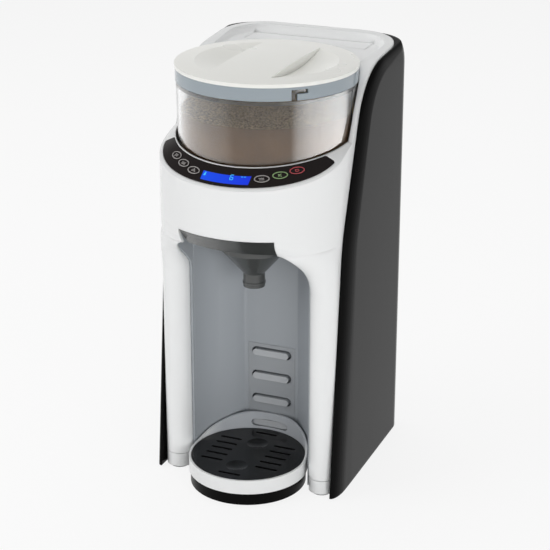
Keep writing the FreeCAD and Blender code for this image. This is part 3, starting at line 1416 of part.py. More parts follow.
def make_tray_ring():
    y, outer = float(s.tray_y), float(s.tray_radius)
    inner = outer - float(s.tray_wall)
    low, top, high = float(s.tray_low), float(s.tray_top), float(s.upstand_top)
    ring = upright(outer, low, high, 0, y).cut(upright(inner, low - 1, high + 1, 0, y))
    run = float(s.upstand_run)
    slope = [(y - 2 * outer, top, 0), (y + outer - 4 - run, top, run), (y + outer - 4, high, run / 3),
             (y + outer + 9, high, 0), (y + outer + 9, high + 20, 0), (y - 2 * outer, high + 20, 0)]
    ring = ring.cut(side_prism(slope, FAR))
    middle, radius = float(s.bar_first) - gap / 2, float(s.bar_height) / 2 + 2 * gap
    half = float(s.bar_half) + 2 * gap - radius
    start = y + outer - 14
    slot = Part.makeBox(2 * half, 20, 2 * radius, V(-half, start, middle - radius))
    ends = [Part.makeCylinder(radius, 20, V(x, start, middle), Y_AXIS) for x in (-half, half)]
    return one_solid(ring.cut([slot] + ends), "tray_ring")


def make_pan():
    wall = s.pan_wall
    upper = s.tray_radius - s.tray_wall - s.gap * 2
    lower = s.tray_radius - 1.4
    step = s.tray_low - s.gap
    rim = s.tray_top - s.grille_thick - s.gap
    return turned("drip_pan", [
        (0, s.pan_low), (lower, s.pan_low), (lower, step), (upper, step), (upper, rim), (upper - wall, rim),
        (upper - wall, s.pan_low + wall), (0, s.pan_low + wall)], 0, s.tray_y)


def slot_sketch(body, name, centres, height):
    """Round-ended slots in a plane parallel to the body's XY plane; centres are (x, y)."""
    sketch = body.newObject("Sketcher::SketchObject", name)
    sketch.AttachmentSupport = [(plane_of(body, "XY_Plane"), "")]
    sketch.MapMode = "FlatFace"
    bind(sketch, "AttachmentOffset.Base.z", height)
    half, radius = (s.slot_length - s.slot_width) / 2, s.slot_width / 2
    for x, y in centres:
        first = sketch.GeometryCount
        right, left, level, round_end = float(x + half), float(x - half), float(y), float(radius)
        sketch.addGeometry([
            Part.ArcOfCircle(Part.Circle(V(right, level, 0), Z_AXIS, round_end), -math.pi / 2, math.pi / 2),
            Part.LineSegment(V(right, level + round_end, 0), V(left, level + round_end, 0)),
            Part.ArcOfCircle(Part.Circle(V(left, level, 0), Z_AXIS, round_end), math.pi / 2, 1.5 * math.pi),
            Part.LineSegment(V(left, level - round_end, 0), V(right, level - round_end, 0)),
        ], False)
        for step in range(4):
            sketch.addConstraint(Sketcher.Constraint("Tangent", first + step, 2, first + (step + 1) % 4, 1))
        sketch.addConstraint(Sketcher.Constraint("Equal", first, first + 2))
        for constraint, size in ((("Radius", first), radius), (("DistanceX", -1, 1, first, 3), x + half),
                                 (("DistanceX", -1, 1, first + 2, 3), x - half),
                                 (("DistanceY", -1, 1, first, 3), y)):
            size = size_of(size)
            number = sketch.addConstraint(Sketcher.Constraint(*constraint, size.value))
            sketch.setExpression("Constraints[%d]" % number, size.text)
    return sketch


def through_pocket(body, name, sketch):
    pocket = body.newObject("PartDesign::Pocket", name)
    pocket.Profile = sketch
    pocket.Type = "ThroughAll"
    pocket.Midplane = True
    return pocket


def make_grille():
    low = s.tray_top - s.grille_thick
    radius = s.tray_radius - s.tray_wall - s.gap * 2
    body = turned("tray_grille", [(0, low), (radius, low), (radius, s.tray_top), (0, s.tray_top)], 0,
                  s.tray_y)
    doc.recompute()
    whole = body.Shape.Volume
    rows = s.slot_rows
    start = -s.slot_pitch * (rows - 1) / 2 + 0.6
    sketch = slot_sketch(body, "grille_slots", [(-s.slot_x, start), (s.slot_x, start)], low)
    pocket = through_pocket(body, "grille_slot_pair", sketch)
    doc.recompute()
    pattern = body.newObject("PartDesign::LinearPattern", "grille_slot_rows")
    pattern.Originals = [pocket]
    pattern.Direction = (sketch, ["V_Axis"])
    bind(pattern, "Length", s.slot_pitch * (rows - 1))
    bind(pattern, "Occurrences", rows)
    body.Tip = pattern
    ends = slot_sketch(body, "grille_ends", [(0, s.end_slot_y), (0, -s.end_slot_y)], low)
    body.Tip = through_pocket(body, "grille_end_slots", ends)
    doc.recompute()
    if body.Shape.Volume >= whole:
        raise ValueError("the grille's slots cut nothing")
    dimples = []
    for number, side in enumerate((-1, 1)):
        ball = doc.addObject("Part::Sphere", "grille_dimple_%d" % number)
        bind(ball, "Radius", s.dimple_ball)
        dimples.append(place(ball, 0, s.tray_y - 2.3 + side * s.finger_pitch / 2,
                             s.tray_top + s.dimple_ball - 1.8))
    return cut("tray_grille", body, *dimples)


# ---------------------------------------------------------------------------------------------
# Water side: tank, pump, heater and tubes
# ---------------------------------------------------------------------------------------------

chassis_back = s.chassis_y + s.chassis_wall
ceiling_top = s.nose_low + s.gap + s.liner_wall
tank_front = chassis_back + s.gap


def make_tank():
    half, low, back, wall = s.tank_half, s.tank_low, s.tank_back, s.tank_wall
    outside = block("tank_outside", (-half, half), (tank_front, back), (low, s.tank_top))
    inside = block("tank_inside", (wall - half, half - wall), (tank_front + wall, back - wall),
                   (low + wall, s.tank_top + 1))
    spigot = rod("tank_spigot", s.spigot_radius, 9, s.dock_x, tank_front + 1, s.dock_z, "-y")
    bore = rod("tank_spigot_bore", s.spigot_radius - 1.4, 14, s.dock_x, tank_front + wall + 1, s.dock_z,
               "-y")
    return cut("water_tank", fuse("tank_solid", cut("tank_box", outside, inside), spigot), bore)


def make_valve():
    radius = s.spigot_radius - 1.4
    sleeve = rod("valve_sleeve", radius, 7, s.dock_x, tank_front - 1, s.dock_z, "-y")
    return cut("tank_valve", sleeve, rod("valve_bore", radius - 1, 9, s.dock_x, tank_front, s.dock_z, "-y"))


def make_dock():
    x, z = s.dock_x, s.dock_z
    front = s.chassis_y - 12
    outside = rod("dock_outside", s.spigot_radius + 4.4, chassis_back - front, x, front, z, "y")
    socket = rod("dock_socket", s.spigot_radius + s.gap, FAR, x, front + 3, z, "y")
    groove = rod("dock_groove", s.spigot_radius + 2, 3, x, front + 5, z, "y")
    throat = rod("dock_throat", s.tube_radius - s.tube_wall, 9, x, front - 1, z, "y")
    return cut("tank_dock", outside, socket, groove, throat)


def make_dock_seal():
    x, y, z = s.dock_x, s.chassis_y - 7, s.dock_z
    ring = rod("seal_outside", s.spigot_radius + 2, 3, x, y, z, "y")
    return cut("dock_seal", ring, rod("seal_bore", s.spigot_radius + s.fit, 5, x, y - 1, z, "y"))


def make_cover():
    half, y, z = s.cover_half, s.cover_back - s.hinge_barrel, s.deck_floor - s.hinge_barrel
    plate = block("cover_plate", (-half, half), (s.cover_front, y),
                  (s.deck_floor - s.cover_thick, s.deck_floor))
    barrel = rod("cover_barrel", s.hinge_barrel, half * 2, -half, y, z, "x")
    grip = rod("cover_grip", 9, 2, 0, s.cover_front, s.deck_floor - 0.8)
    return cut("tank_cover", fuse("cover_solid", plate, barrel), grip,
               rod("cover_bore", s.pin_radius + s.fit, FAR * 2, -FAR, y, z, "x"))


def make_hinge_pins():
    y, z = s.cover_back - s.hinge_barrel, s.deck_floor - s.hinge_barrel
    length = 15.0
    outer = s.cover_half + s.gap + s.lug_width
    return compound("hinge_pins", rod("hinge_pin_left", s.pin_radius, length, -outer, y, z, "x"),
                    rod("hinge_pin_right", s.pin_radius, length, outer - length, y, z, "x"))


def make_chassis():
    front, back = s.chassis_y, chassis_back
    low = s.foot_height + s.base_thick_plate + s.gap
    side, wall = s.tank_half + s.gap * 6, s.chassis_wall
    top = s.deck_floor - s.deck_plate - s.gap
    depth = s.tank_back - 3.6
    shelf_low = s.tank_low - s.gap - wall
    parts = [block("chassis_wall", (-side - wall, side + wall), (front, back), (low, top)),
             block("chassis_foot", (-side - wall, side + wall), (front - 16, back), (low, low + wall)),
             block("chassis_shelf", (-side - wall, side + wall), (back - 1, depth),
                   (shelf_low, shelf_low + wall)),
             block("chassis_left", (-side - wall, -side), (back - 1, depth), (shelf_low, s.tank_top - 20)),
             block("chassis_right", (side, side + wall), (back - 1, depth), (shelf_low, s.tank_top - 20))]
    holes = [rod("chassis_dock_hole", s.spigot_radius + 4.5, 20, s.dock_x, front - 5, s.dock_z, "y")]
    holes += [rod("chassis_screw_%d" % number, s.screw_shank, 20, x, y, low - 5)
              for number, (x, y) in enumerate(base_screw_places())]
    return cut("chassis", fuse("chassis_solid", *parts), *holes)


def make_heater():
    y, low = s.heater_y, s.heater_low
    body = rod("heater_body", s.heater_radius, s.heater_height, s.heater_x, y, low)
    bands = [rod("heater_band_%d" % number, s.heater_radius + 0.2, 5, s.heater_x, y, low + 14 + number * 58)
             for number in range(2)]
    return fuse("heater", body, *bands)


def make_thermostat():
    low = s.heater_low + s.heater_height
    disc = rod("thermostat_disc", 8, 5, s.heater_x + 6, s.heater_y, low)
    tabs = [block("thermostat_tab_%d" % number, (s.heater_x + x, s.heater_x + x + 4),
                  (s.heater_y - 0.4, s.heater_y + 0.4), (low + 4, low + 12))
            for number, x in enumerate((0.5, 7.5))]
    return fuse("thermostat", disc, *tabs)


def make_pump():
    x, z, radius = s.dock_x, s.pump_z, s.pump_radius
    front = 30.0
    body = rod("pump_body", radius, s.chassis_y - front, x, front, z, "y")
    chamber = rod("pump_chamber", radius - 4, 18, x, front - 1, z, "y")
    bore = rod("pump_bore", 3 + s.fit, 28, x, front - 1, z, "y")
    return cut("pump_housing", body, chamber, bore)


def make_rotor():
    x, z = s.dock_x, s.pump_z
    front = 31.0
    hub = rod("rotor_hub", 6, 14, x, front, z, "y")
    shaft = rod("rotor_shaft", 3, 24, x, front, z, "y")
    rollers = []
    for number in range(3):
        angle = math.radians(90 + 120 * number)
        rollers.append(rod("rotor_roller_%d" % number, 4.5, 14, x + 7.5 * math.cos(angle), front,
                           z + 7.5 * math.sin(angle), "y"))
    return fuse("pump_rotor", hub, shaft, *rollers)


def tube(*corners):
    """A water tube along straight runs with round bends; corners are (x, y, z)."""
    bend, outer = float(s.tube_bend), float(s.tube_radius)
    points = [V(*[float(value) for value in corner]) for corner in corners]
    path = rounded_wire([(point, bend) for point in points], closed=False)
    walls = []
    for radius in (outer, outer - float(s.tube_wall)):
        circle = Part.Wire([Part.Circle(points[0], points[1] - points[0], radius).toShape()])
        walls.append(path.makePipeShell([circle], True, False))
    return walls[0].cut(walls[1])


def make_suction_tube():
    x, y = s.dock_x, s.chassis_y - 12
    return tube((x, y, s.dock_z), (x, y - 14, s.dock_z), (x, y - 14, s.pump_z - s.pump_radius))


def make_feed_tube():
    level = s.heater_low - 20
    y = s.heater_y
    return tube((s.dock_x - s.pump_radius, y, s.pump_z), (0, y, s.pump_z), (0, y, level),
                (s.heater_x, y, level),
                (s.heater_x, y, s.heater_low))


def make_hot_tube():
    x, top = s.heater_x - 12, s.nose_low + 15
    return tube((x, s.heater_y, s.heater_low + s.heater_height), (x, s.heater_y, top), (x, s.funnel_y, top),
                (s.nozzle_x, s.funnel_y, top), (s.nozzle_x, s.funnel_y, ceiling_top + 2))


def make_nozzle():
    """A nozzle that hangs through the bay's ceiling; the hot tube plugs into its cup."""
    low, ceiling = s.nose_low - 1.4, ceiling_top
    return turned("water_nozzle", [
        (1.2, low), (2.4, low), (s.nozzle_tube, low + 2), (s.nozzle_tube, ceiling),
        (s.nozzle_tube + 1.6, ceiling),
        (s.nozzle_tube + 1.6, ceiling + 4), (s.tube_radius + s.fit, ceiling + 4),
        (s.tube_radius + s.fit, ceiling + 2), (1.2, ceiling + 2)], s.nozzle_x, s.funnel_y)


# ---------------------------------------------------------------------------------------------
# Electrics, feet and screws
# ---------------------------------------------------------------------------------------------

def board_corners(x, z):
    return [(x[0] + 5, z[0] + 5), (x[1] - 5, z[0] + 5), (x[0] + 5, z[1] - 5), (x[1] - 5, z[1] - 5)]


POWER_X, POWER_Z = (-60.0, 10.0), (12.0, 82.0)
CONTROL_X, CONTROL_Z = (8.0, 62.0), (165.0, 235.0)


def make_board(name, x, z, blocks, rods):
    """A board on four standoffs; blocks and rods are components that stand forward of it."""
    face = s.chassis_y - s.board_stand - s.board_thick
    parts = [block(name + "_plate", x, (face, face + s.board_thick), z)]
    holes = []
    for number, (screw_x, screw_z) in enumerate(board_corners(x, z)):
        parts.append(rod("%s_standoff_%d" % (name, number), s.screw_head, s.board_stand, screw_x,
                         s.chassis_y - s.board_stand, screw_z, "y"))
        holes.append(rod("%s_hole_%d" % (name, number), s.screw_shank, 12, screw_x, face - 1, screw_z, "y"))
    for number, (x0, x1, z0, z1, height) in enumerate(blocks):
        parts.append(block("%s_block_%d" % (name, number), (x0, x1), (face - height, face), (z0, z1)))
    for number, (rod_x, rod_z, radius, height) in enumerate(rods):
        parts.append(rod("%s_can_%d" % (name, number), radius, height, rod_x, face, rod_z, "-y"))
    return cut(name, fuse(name + "_solid", *parts), *holes)


def make_power_board():
    blocks = [(-46, -20, 34, 60, 20), (-4, 4, 22, 46, 14), (-48, -30, 18, 26, 10)]
    return make_board("power_board", POWER_X, POWER_Z, blocks, [(-10, 60, 6, 18), (-10, 28, 5, 14)])


def make_control_board():
    blocks = [(22, 36, 190, 204, 2), (44, 52, 180, 188, 3), (20, 48, 222, 227, 7)]
    return make_board("control_board", CONTROL_X, CONTROL_Z, blocks, [(52, 204, 4, 8)])


def make_inlet():
    x, half, low, high = s.dock_x, 13.5, 12.0, 32.0
    back = s.machine_back - 1
    body = block("inlet_body", (x - half, x + half), (back - 19, back), (low, high))
    recess = block("inlet_recess", (x - half + 2.4, x + half - 2.4), (back - 14, back + 1),
                   (low + 2.2, high - 2.2))
    pins = [block("inlet_pin_%d" % number, (x + dx - 1, x + dx + 1), (back - 15, back - 7.5), (z - 2, z + 2))
            for number, (dx, z) in enumerate(((-7, 20.0), (0, 25.0), (7, 20.0)))]
    return fuse("mains_inlet", cut("inlet_shell", body, recess), *pins)


def make_feet():
    front_x, back_x = s.head_half - s.leg_width / 2, s.head_half - s.back_corner
    places = [(x, s.leg_mid - 1) for x in (-front_x, front_x)]
    places += [(x, s.shell_back - s.back_corner) for x in (-back_x, back_x)]
    return compound("rubber_feet", *[rod("foot_%d" % number, s.foot_radius, s.foot_height, x, y, 0)
                                     for number, (x, y) in enumerate(places)])


def screw(name, length, x, y, z, along):
    """A pan-head screw whose head's underside is at (x, y, z) and whose shank runs along an axis."""
    against = {"z": "-z", "y": "-y"}[along]
    shank = rod(name + "_shank", s.screw_shank, length, x, y, z, along)
    head = rod(name + "_head", s.screw_head, 1.6, x, y, z, "z" if along == "z" else against)
    if along == "z":
        place(head, x, y, size_of(z) - 1.6)
    return fuse(name, shank, head)


def make_screws():
    screws = [screw("base_screw_%d" % number, 7, x, y, s.foot_height, "z")
              for number, (x, y) in enumerate(base_screw_places())]
    for name, x, z in (("power_screw", POWER_X, POWER_Z), ("control_screw", CONTROL_X, CONTROL_Z)):
        face = s.chassis_y - s.board_stand - s.board_thick
        screws += [screw("%s_%d" % (name, number), 5.4, screw_x, face, screw_z, "y")
                   for number, (screw_x, screw_z) in enumerate(board_corners(x, z))]
    for number, (x, y) in enumerate(post_places()):
        shank = rod("seat_screw_shank_%d" % number, s.screw_shank, 10, x, y, s.seat_top - 12)
        head = rod("seat_screw_head_%d" % number, s.screw_head, 1.6, x, y, s.seat_top - 2)
        screws.append(fuse("seat_fastener_%d" % number, shank, head))
    return compound("screws", *screws)


# ---------------------------------------------------------------------------------------------
# All sub-parts
# ---------------------------------------------------------------------------------------------

foot_cap = make_foot_cap()

SHAPES = {
    "front_shell": make_front_shell(),
    "right_foot_cap": foot_cap,
    "left_foot_cap": foot_cap.mirror(ORIGIN, X_AXIS),
    "rear_casing": make_casing(),
    "bay_liner": make_liner(),
    "base_plate": make_base_plate(),
    "fascia": make_fascia(),
    "display_window": make_window(),
    "keypad_mat": make_keypad(),
    "display_board": make_display_board(),
    "temperature_button": make_button(0),
    "ounces_button": make_button(1),
    "powder_button": make_button(2),
    "stop_button": make_button(5),
    "start_button": make_button(4),
    "wash_button": make_button(3),
    "drive_gear": make_drive_gear(),
    "motor_pinion": make_pinion(),
    "funnel_holder": make_drawer(),
    "tray_ring": make_tray_ring(),
    "suction_tube": make_suction_tube(),
    "feed_tube": make_feed_tube(),
    "hot_tube": make_hot_tube(),
}

for name, shape in SHAPES.items():
    shape_node(name, shape)

OBJECTS = {
    "container_seat": make_seat(),
    "powder_container": make_container(),
    "container_base": make_container_base(),
    "formula_powder": make_powder(),
    "powder_wheel": make_wheel(),
    "stirrer": make_stirrer(),
    "drive_hub": make_hub(),
    "drive_bush": make_bush(),
    "motor_bracket": make_bracket(),
    "gear_motor": make_motor(),
    "powder_chute": make_chute(),
    "lid": make_lid(),
    "lid_collar": make_collar(),
    "lid_gasket": make_gasket(),
    "holder_rails": compound("holder_rails", make_runner(1), make_runner(-1)),
    "funnel": make_funnel(),
    "tray_rail": make_tray_rail(),
    "drip_pan": make_pan(),
    "tray_grille": make_grille(),
    "water_tank": make_tank(),
    "tank_valve": make_valve(),
    "tank_dock": make_dock(),
    "dock_seal": make_dock_seal(),
    "tank_cover": make_cover(),
    "hinge_pins": make_hinge_pins(),
    "chassis": make_chassis(),
    "heater": make_heater(),
    "thermostat": make_thermostat(),
    "pump_housing": make_pump(),
    "pump_rotor": make_rotor(),
    "water_nozzle": make_nozzle(),
    "power_board": make_power_board(),
    "control_board": make_control_board(),
    "mains_inlet": make_inlet(),
    "rubber_feet": make_feet(),
    "screws": make_screws(),
}

for name, made in OBJECTS.items():
    node(made, name)

doc.recompute()

for obj in doc.Objects:
    if "Invalid" in obj.State or "Error" in obj.State:
        raise RuntimeError("%s failed" % obj.Label)
for obj in NODES:
    if obj.Shape.isNull() or not obj.Shape.isValid():
        raise RuntimeError("%s has no valid shape" % obj.Label)

os.makedirs("parts", exist_ok=True)
for obj in NODES:
    obj.Shape.exportStep("parts/%s.step" % obj.Label)
print("%d sub-parts" % len(NODES))
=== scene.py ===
# %% [markdown]
# # A baby formula maker
# The machine stands on a counter and mixes a bottle of baby milk. A powder container sits on top, a
# water tank is hidden at the back, and the two meet in a smoke-coloured funnel over the bottle. The
# solid pieces arrive finished from the construction model. This lesson gives them their plastics, adds
# the printed and moulded details that a solid model leaves out, and lights the whole like a catalogue
# picture.

# %% Load the frame
import bpy
import math
from mathutils import Matrix, Vector


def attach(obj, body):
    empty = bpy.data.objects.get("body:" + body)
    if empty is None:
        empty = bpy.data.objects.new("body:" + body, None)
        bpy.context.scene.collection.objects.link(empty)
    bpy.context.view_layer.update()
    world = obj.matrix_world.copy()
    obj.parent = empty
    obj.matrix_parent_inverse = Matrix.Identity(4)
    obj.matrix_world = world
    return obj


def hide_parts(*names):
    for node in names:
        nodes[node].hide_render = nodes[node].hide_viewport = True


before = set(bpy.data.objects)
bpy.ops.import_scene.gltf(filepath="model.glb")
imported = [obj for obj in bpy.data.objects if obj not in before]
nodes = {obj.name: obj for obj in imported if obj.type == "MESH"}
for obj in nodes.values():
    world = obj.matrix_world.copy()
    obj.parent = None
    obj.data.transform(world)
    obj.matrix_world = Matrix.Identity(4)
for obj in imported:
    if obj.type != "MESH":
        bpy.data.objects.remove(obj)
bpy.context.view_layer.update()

MM = 0.001
print("CAD nodes:", len(nodes))

# %% [markdown]
# ## The camera
# A long lens from a little above and from the right gives the calm, nearly parallel view of a product
# picture. The three directions below are the camera's own right, up and forward; a matrix made of them
# turns the camera.

# %% Camera
camera_data = bpy.data.cameras.new("camera")
camera_data.lens = 111.51
camera_data.sensor_width = 36.0
camera = bpy.data.objects.new("camera", camera_data)
bpy.context.scene.collection.objects.link(camera)
camera_right = Vector((0.922202, 0.386708, 0.0)).normalized()
camera_forward = Vector((-0.360405, 0.859477, -0.362502)).normalized()
camera_up = camera_right.cross(camera_forward)
camera_place = Vector((592.70, -1409.43, 783.70)) * MM
turned = Matrix((camera_right, camera_up, -camera_forward)).transposed().to_4x4()
camera.matrix_world = Matrix.Translation(camera_place) @ turned
bpy.context.scene.camera = camera
print("camera stands", round(camera.location.length, 3), "m from the machine")

# %% [markdown]
# ## Colours and nodes
# Colours are written as hex values, the way a designer's swatch gives them, and one function turns them
# to the linear values that the renderer works with. A second function adds a shader node with its
# settings and links.


# %% Colour and node helpers
def linear(swatch):
    """The linear colour of an sRGB hex value such as #F2F2F0."""
    parts = [int(swatch[place:place + 2], 16) / 255 for place in (1, 3, 5)]
    return tuple(c / 12.92 if c <= 0.04045 else ((c + 0.055) / 1.055) ** 2.4 for c in parts) + (1.0,)


def add(tree, kind, inputs=None, **settings):
    """Adds a node; inputs maps a socket's name or number to a value, or to another node's output."""
    new = tree.nodes.new("ShaderNode" + kind)
    for name, value in settings.items():
        setattr(new, name, value)
    for name, value in (inputs or {}).items():
        if isinstance(value, bpy.types.NodeSocket):
            tree.links.new(value, new.inputs[name])
        else:
            new.inputs[name].default_value = value
    return new


def new_material(name):
    """An empty material and its node tree."""
    made = bpy.data.materials.new(name)
    made.use_nodes = True
    tree = made.node_tree
    tree.nodes.clear()
    return made, tree


def finish_material(tree, shader, volume=None):
    """Adds the output and joins the shader to it, and a volume where the wall is dyed inside."""
    output = tree.nodes.new("ShaderNodeOutputMaterial")
    tree.links.new(shader.outputs[0], output.inputs["Surface"])
    if volume:
        tree.links.new(volume.outputs[0], output.inputs["Volume"])


def grain(tree, size_mm, detail=2.0):
    """Noise whose blobs are about size_mm across."""
    place = add(tree, "TexCoord")
    return add(tree, "TexNoise", {"Vector": place.outputs["Object"], "Scale": 1 / (size_mm * MM),
                                  "Detail": detail})


# %% [markdown]
# ## Moulded ABS
# Most of the housing is acrylonitrile butadiene styrene, an opaque plastic with a hard skin. Polished
# moulds leave it as glossy as lacquer, and only a faint long unevenness of the cooling skin breaks its
# reflections. Spark-eroded moulds leave a fine matt grain instead. Every real moulding has slightly
# rounded edges, which the bevel node draws in the shading where two faces meet.


# %% Glossy ABS
def gloss_abs(name, swatch, roughness, wave_mm=9.0, wave=0.02, edge_mm=0.5, shine=0.5):
    """Polished plastic: a broad, faint waviness and a little handling haze in its gloss."""
    made, tree = new_material(name)
    edge = add(tree, "Bevel", {"Radius": edge_mm * MM}, samples=6)
    skin = grain(tree, wave_mm, 1.0)
    bump = add(tree, "Bump", {"Strength": wave, "Distance": 0.4 * MM, "Height": skin.outputs["Fac"],
                              "Normal": edge.outputs["Normal"]})
    handling = grain(tree, 45.0, 1.0)
    smear = add(tree, "MapRange", {"Value": handling.outputs["Fac"], "From Min": 0.3, "From Max": 0.7,
                                   "To Min": roughness * 0.9, "To Max": roughness * 1.15})
    shader = add(tree, "BsdfPrincipled", {"Base Color": linear(swatch), "Roughness": smear.outputs["Result"],
                                          "IOR": 1.53, "Specular IOR Level": shine,
                                          "Normal": bump.outputs["Normal"]})
    finish_material(tree, shader)
    return made


white_abs = gloss_abs("glossy_white_abs", "#EFF0F0", 0.22, edge_mm=2.0)
lid_abs = gloss_abs("warm_white_abs", "#F4F4EF", 0.3, wave_mm=30.0, wave=0.01)
black_abs = gloss_abs("glossy_black_abs", "#0D0D0D", 0.14, wave_mm=40.0, wave=0.006, edge_mm=2.4, shine=0.04)
# The drip pan's near-pure black is partly its own black plastic and partly painted shade of the gap under the
# tray.
pan_abs = gloss_abs("satin_black_abs", "#030303", 0.3, wave_mm=30.0, wave=0.01, shine=0.06)
print("glossy mouldings:", white_abs.name, lid_abs.name, black_abs.name, pan_abs.name)


# %% Satin ABS
def satin_abs(name, swatch, roughness, grain_mm=0.7, depth=0.12, edge_mm=0.4, shine=0.5):
    """Spark-eroded plastic: a matt grain. The real grit is about 0.05 mm, drawn coarser so that it shows."""
    made, tree = new_material(name)
    edge = add(tree, "Bevel", {"Radius": edge_mm * MM}, samples=6)
    eroded = grain(tree, grain_mm, 3.0)
    bump = add(tree, "Bump", {"Strength": depth, "Distance": 0.1 * MM, "Height": eroded.outputs["Fac"],
                              "Normal": edge.outputs["Normal"]})
    shader = add(tree, "BsdfPrincipled", {"Base Color": linear(swatch), "Roughness": roughness,
                                          "IOR": 1.53, "Specular IOR Level": shine,
                                          "Normal": bump.outputs["Normal"]})
    finish_material(tree, shader)
    return made


liner_abs = satin_abs("eroded_grey_abs", "#A4A9AE", 0.36, edge_mm=1.6)
dark_abs = satin_abs("eroded_black_abs", "#161617", 0.42)
grille_abs = satin_abs("polished_black_abs", "#0D0D0E", 0.2, grain_mm=1.4, depth=0.04, edge_mm=0.5, shine=0.3)
print("satin mouldings:", liner_abs.name, dark_abs.name, grille_abs.name)

# %% [markdown]
# ## Painted shade in one moulding
# The tray ring is white where it faces the user. Its back wall stands in the shade of the bay, and that
# shade is painted in as the liner's blue-grey. The rail's plate is painted darker than its bars, as
# painted shade behind them. One moulding carries both tones, so the colour is a smooth function of its
# depth: the place along Y feeds a mix.


# %% Tray and rail plastic, with painted shade
def abs_with_painted_shade(name, front, back, start_mm, end_mm):
    """Glossy plastic whose colour turns from front to back between two places along Y; the back colour is
    painted shade.
    """
    made, tree = new_material(name)
    place = add(tree, "TexCoord")
    split = add(tree, "SeparateXYZ", {"Vector": place.outputs["Object"]})
    share = add(tree, "MapRange", {"Value": split.outputs["Y"], "From Min": start_mm * MM,
                                   "From Max": end_mm * MM}, interpolation_type="SMOOTHSTEP")
    # The mix from the front colour to the back colour is painted shade.
    tone = add(tree, "Mix", {0: share.outputs["Result"], 6: linear(front), 7: linear(back)},
               data_type="RGBA")
    edge = add(tree, "Bevel", {"Radius": 0.4 * MM}, samples=6)
    skin = grain(tree, 8.0, 1.0)
    bump = add(tree, "Bump", {"Strength": 0.03, "Distance": 0.3 * MM, "Height": skin.outputs["Fac"],
                              "Normal": edge.outputs["Normal"]})
    shader = add(tree, "BsdfPrincipled", {"Base Color": tone.outputs[2], "Roughness": 0.28, "IOR": 1.53,
                                          "Normal": bump.outputs["Normal"]})
    finish_material(tree, shader)
    return made


# The tray ring's back wall takes painted shade: a blue-grey where the bay's shade falls.
tray_plastic_painted_shade = abs_with_painted_shade("tray_abs_painted_shade", "#EFF0F0", "#B9BDC2", -52.0, -24.0)
# The rail's plate takes painted shade: darker than the bars it sits behind.
rail_plastic_painted_shade = abs_with_painted_shade("rail_abs_painted_shade", "#B8BBBE", "#A0A4A8", -5.6, -4.6)
print("tray and rail plastic:", tray_plastic_painted_shade.name, rail_plastic_painted_shade.name)

# %% [markdown]
# ## Clear and dyed plastics
# The powder container is copolyester, clear as glass and nearly as glossy. The lid's collar has a pale
# blue dye, and the funnel with its drawer is polycarbonate with so much smoke dye that it is nearly
# opaque. Light that runs along inside a clear wall goes a long way through it, so the wall looks dark
# where it turns away from the eye. An absorbing volume inside the wall gives just that, which a tint on
# the surface can't.


# %% Clear copolyester
def clear_plastic(name, tint, roughness, dye, density):
    """A clear wall, tinted on its skin and dyed inside; density is per metre of plastic."""
    made, tree = new_material(name)
    edge = add(tree, "Bevel", {"Radius": 0.4 * MM}, samples=4)
    haze = grain(tree, 20.0, 2.0)
    blur = add(tree, "MapRange", {"Value": haze.outputs["Fac"], "To Min": roughness * 0.7,
                                  "To Max": roughness * 1.4})
    shader = add(tree, "BsdfPrincipled", {"Base Color": linear(tint), "Roughness": blur.outputs["Result"],
                                          "IOR": 1.56, "Transmission Weight": 1.0,
                                          "Normal": edge.outputs["Normal"]})
    absorb = add(tree, "VolumeAbsorption", {"Color": linear(dye), "Density": density})
    finish_material(tree, shader, absorb)
    return made


clear_container = clear_plastic("clear_copolyester", "#FAFBFC", 0.07, "#3A3A3C", 26.0)
tank_plastic = clear_plastic("smoke_copolyester", "#8A8D91", 0.08, "#202224", 60.0)
print("clear walls:", clear_container.name, tank_plastic.name)


# %% Smoke polycarbonate
def smoke_plastic(name, swatch, through, roughness=0.2):
    """Heavily dyed plastic: most light comes back from just under its skin, and a share goes through."""
    made, tree = new_material(name)
    edge = add(tree, "Bevel", {"Radius": 0.5 * MM}, samples=6)
    flow = grain(tree, 26.0, 2.0)
    blur = add(tree, "MapRange", {"Value": flow.outputs["Fac"], "To Min": roughness * 0.8,
                                  "To Max": roughness * 1.3})
    shader = add(tree, "BsdfPrincipled", {"Base Color": linear(swatch), "Roughness": blur.outputs["Result"],
                                          "IOR": 1.58, "Transmission Weight": through,
                                          "Normal": edge.outputs["Normal"]})
    finish_material(tree, shader)
    return made


holder_plastic = smoke_plastic("smoke_polycarbonate", "#3C3E3D", 0.16)
funnel_plastic = smoke_plastic("dark_smoke_polycarbonate", "#565857", 0.35)
collar_plastic = smoke_plastic("blue_tinted_copolyester", "#BCC8D0", 0.42, roughness=0.1)
print("dyed walls:", holder_plastic.name, funnel_plastic.name, collar_plastic.name)

# %% [markdown]
# ## Small finishes
# Rubber feet, silicone seals, steel screws, brass and circuit boards each get a short recipe. Few of
# them show while the machine stands whole, but they show when it is opened or posed.


# %% Metals
def metal(name, swatch, roughness, brush_mm=0.5):
    """Plated or cast metal with a fine unevenness in its gloss and its skin."""
    made, tree = new_material(name)
    brushed = grain(tree, brush_mm, 4.0)
    blur = add(tree, "MapRange", {"Value": brushed.outputs["Fac"], "To Min": roughness * 0.7,
                                  "To Max": roughness * 1.3})
    bump = add(tree, "Bump", {"Strength": 0.1, "Distance": 0.05 * MM, "Height": brushed.outputs["Fac"]})
    shader = add(tree, "BsdfPrincipled", {"Base Color": linear(swatch), "Metallic": 1.0,
                                          "Roughness": blur.outputs["Result"],
                                          "Normal": bump.outputs["Normal"]})
    finish_material(tree, shader)
    return made


steel = metal("zinc_plated_steel", "#B9BABB", 0.3)
brass = metal("sintered_brass", "#B08A4A", 0.35, brush_mm=0.8)
aluminium = metal("cast_aluminium", "#A9ABAC", 0.5, brush_mm=1.6)
print("metals:", steel.name, brass.name, aluminium.name)

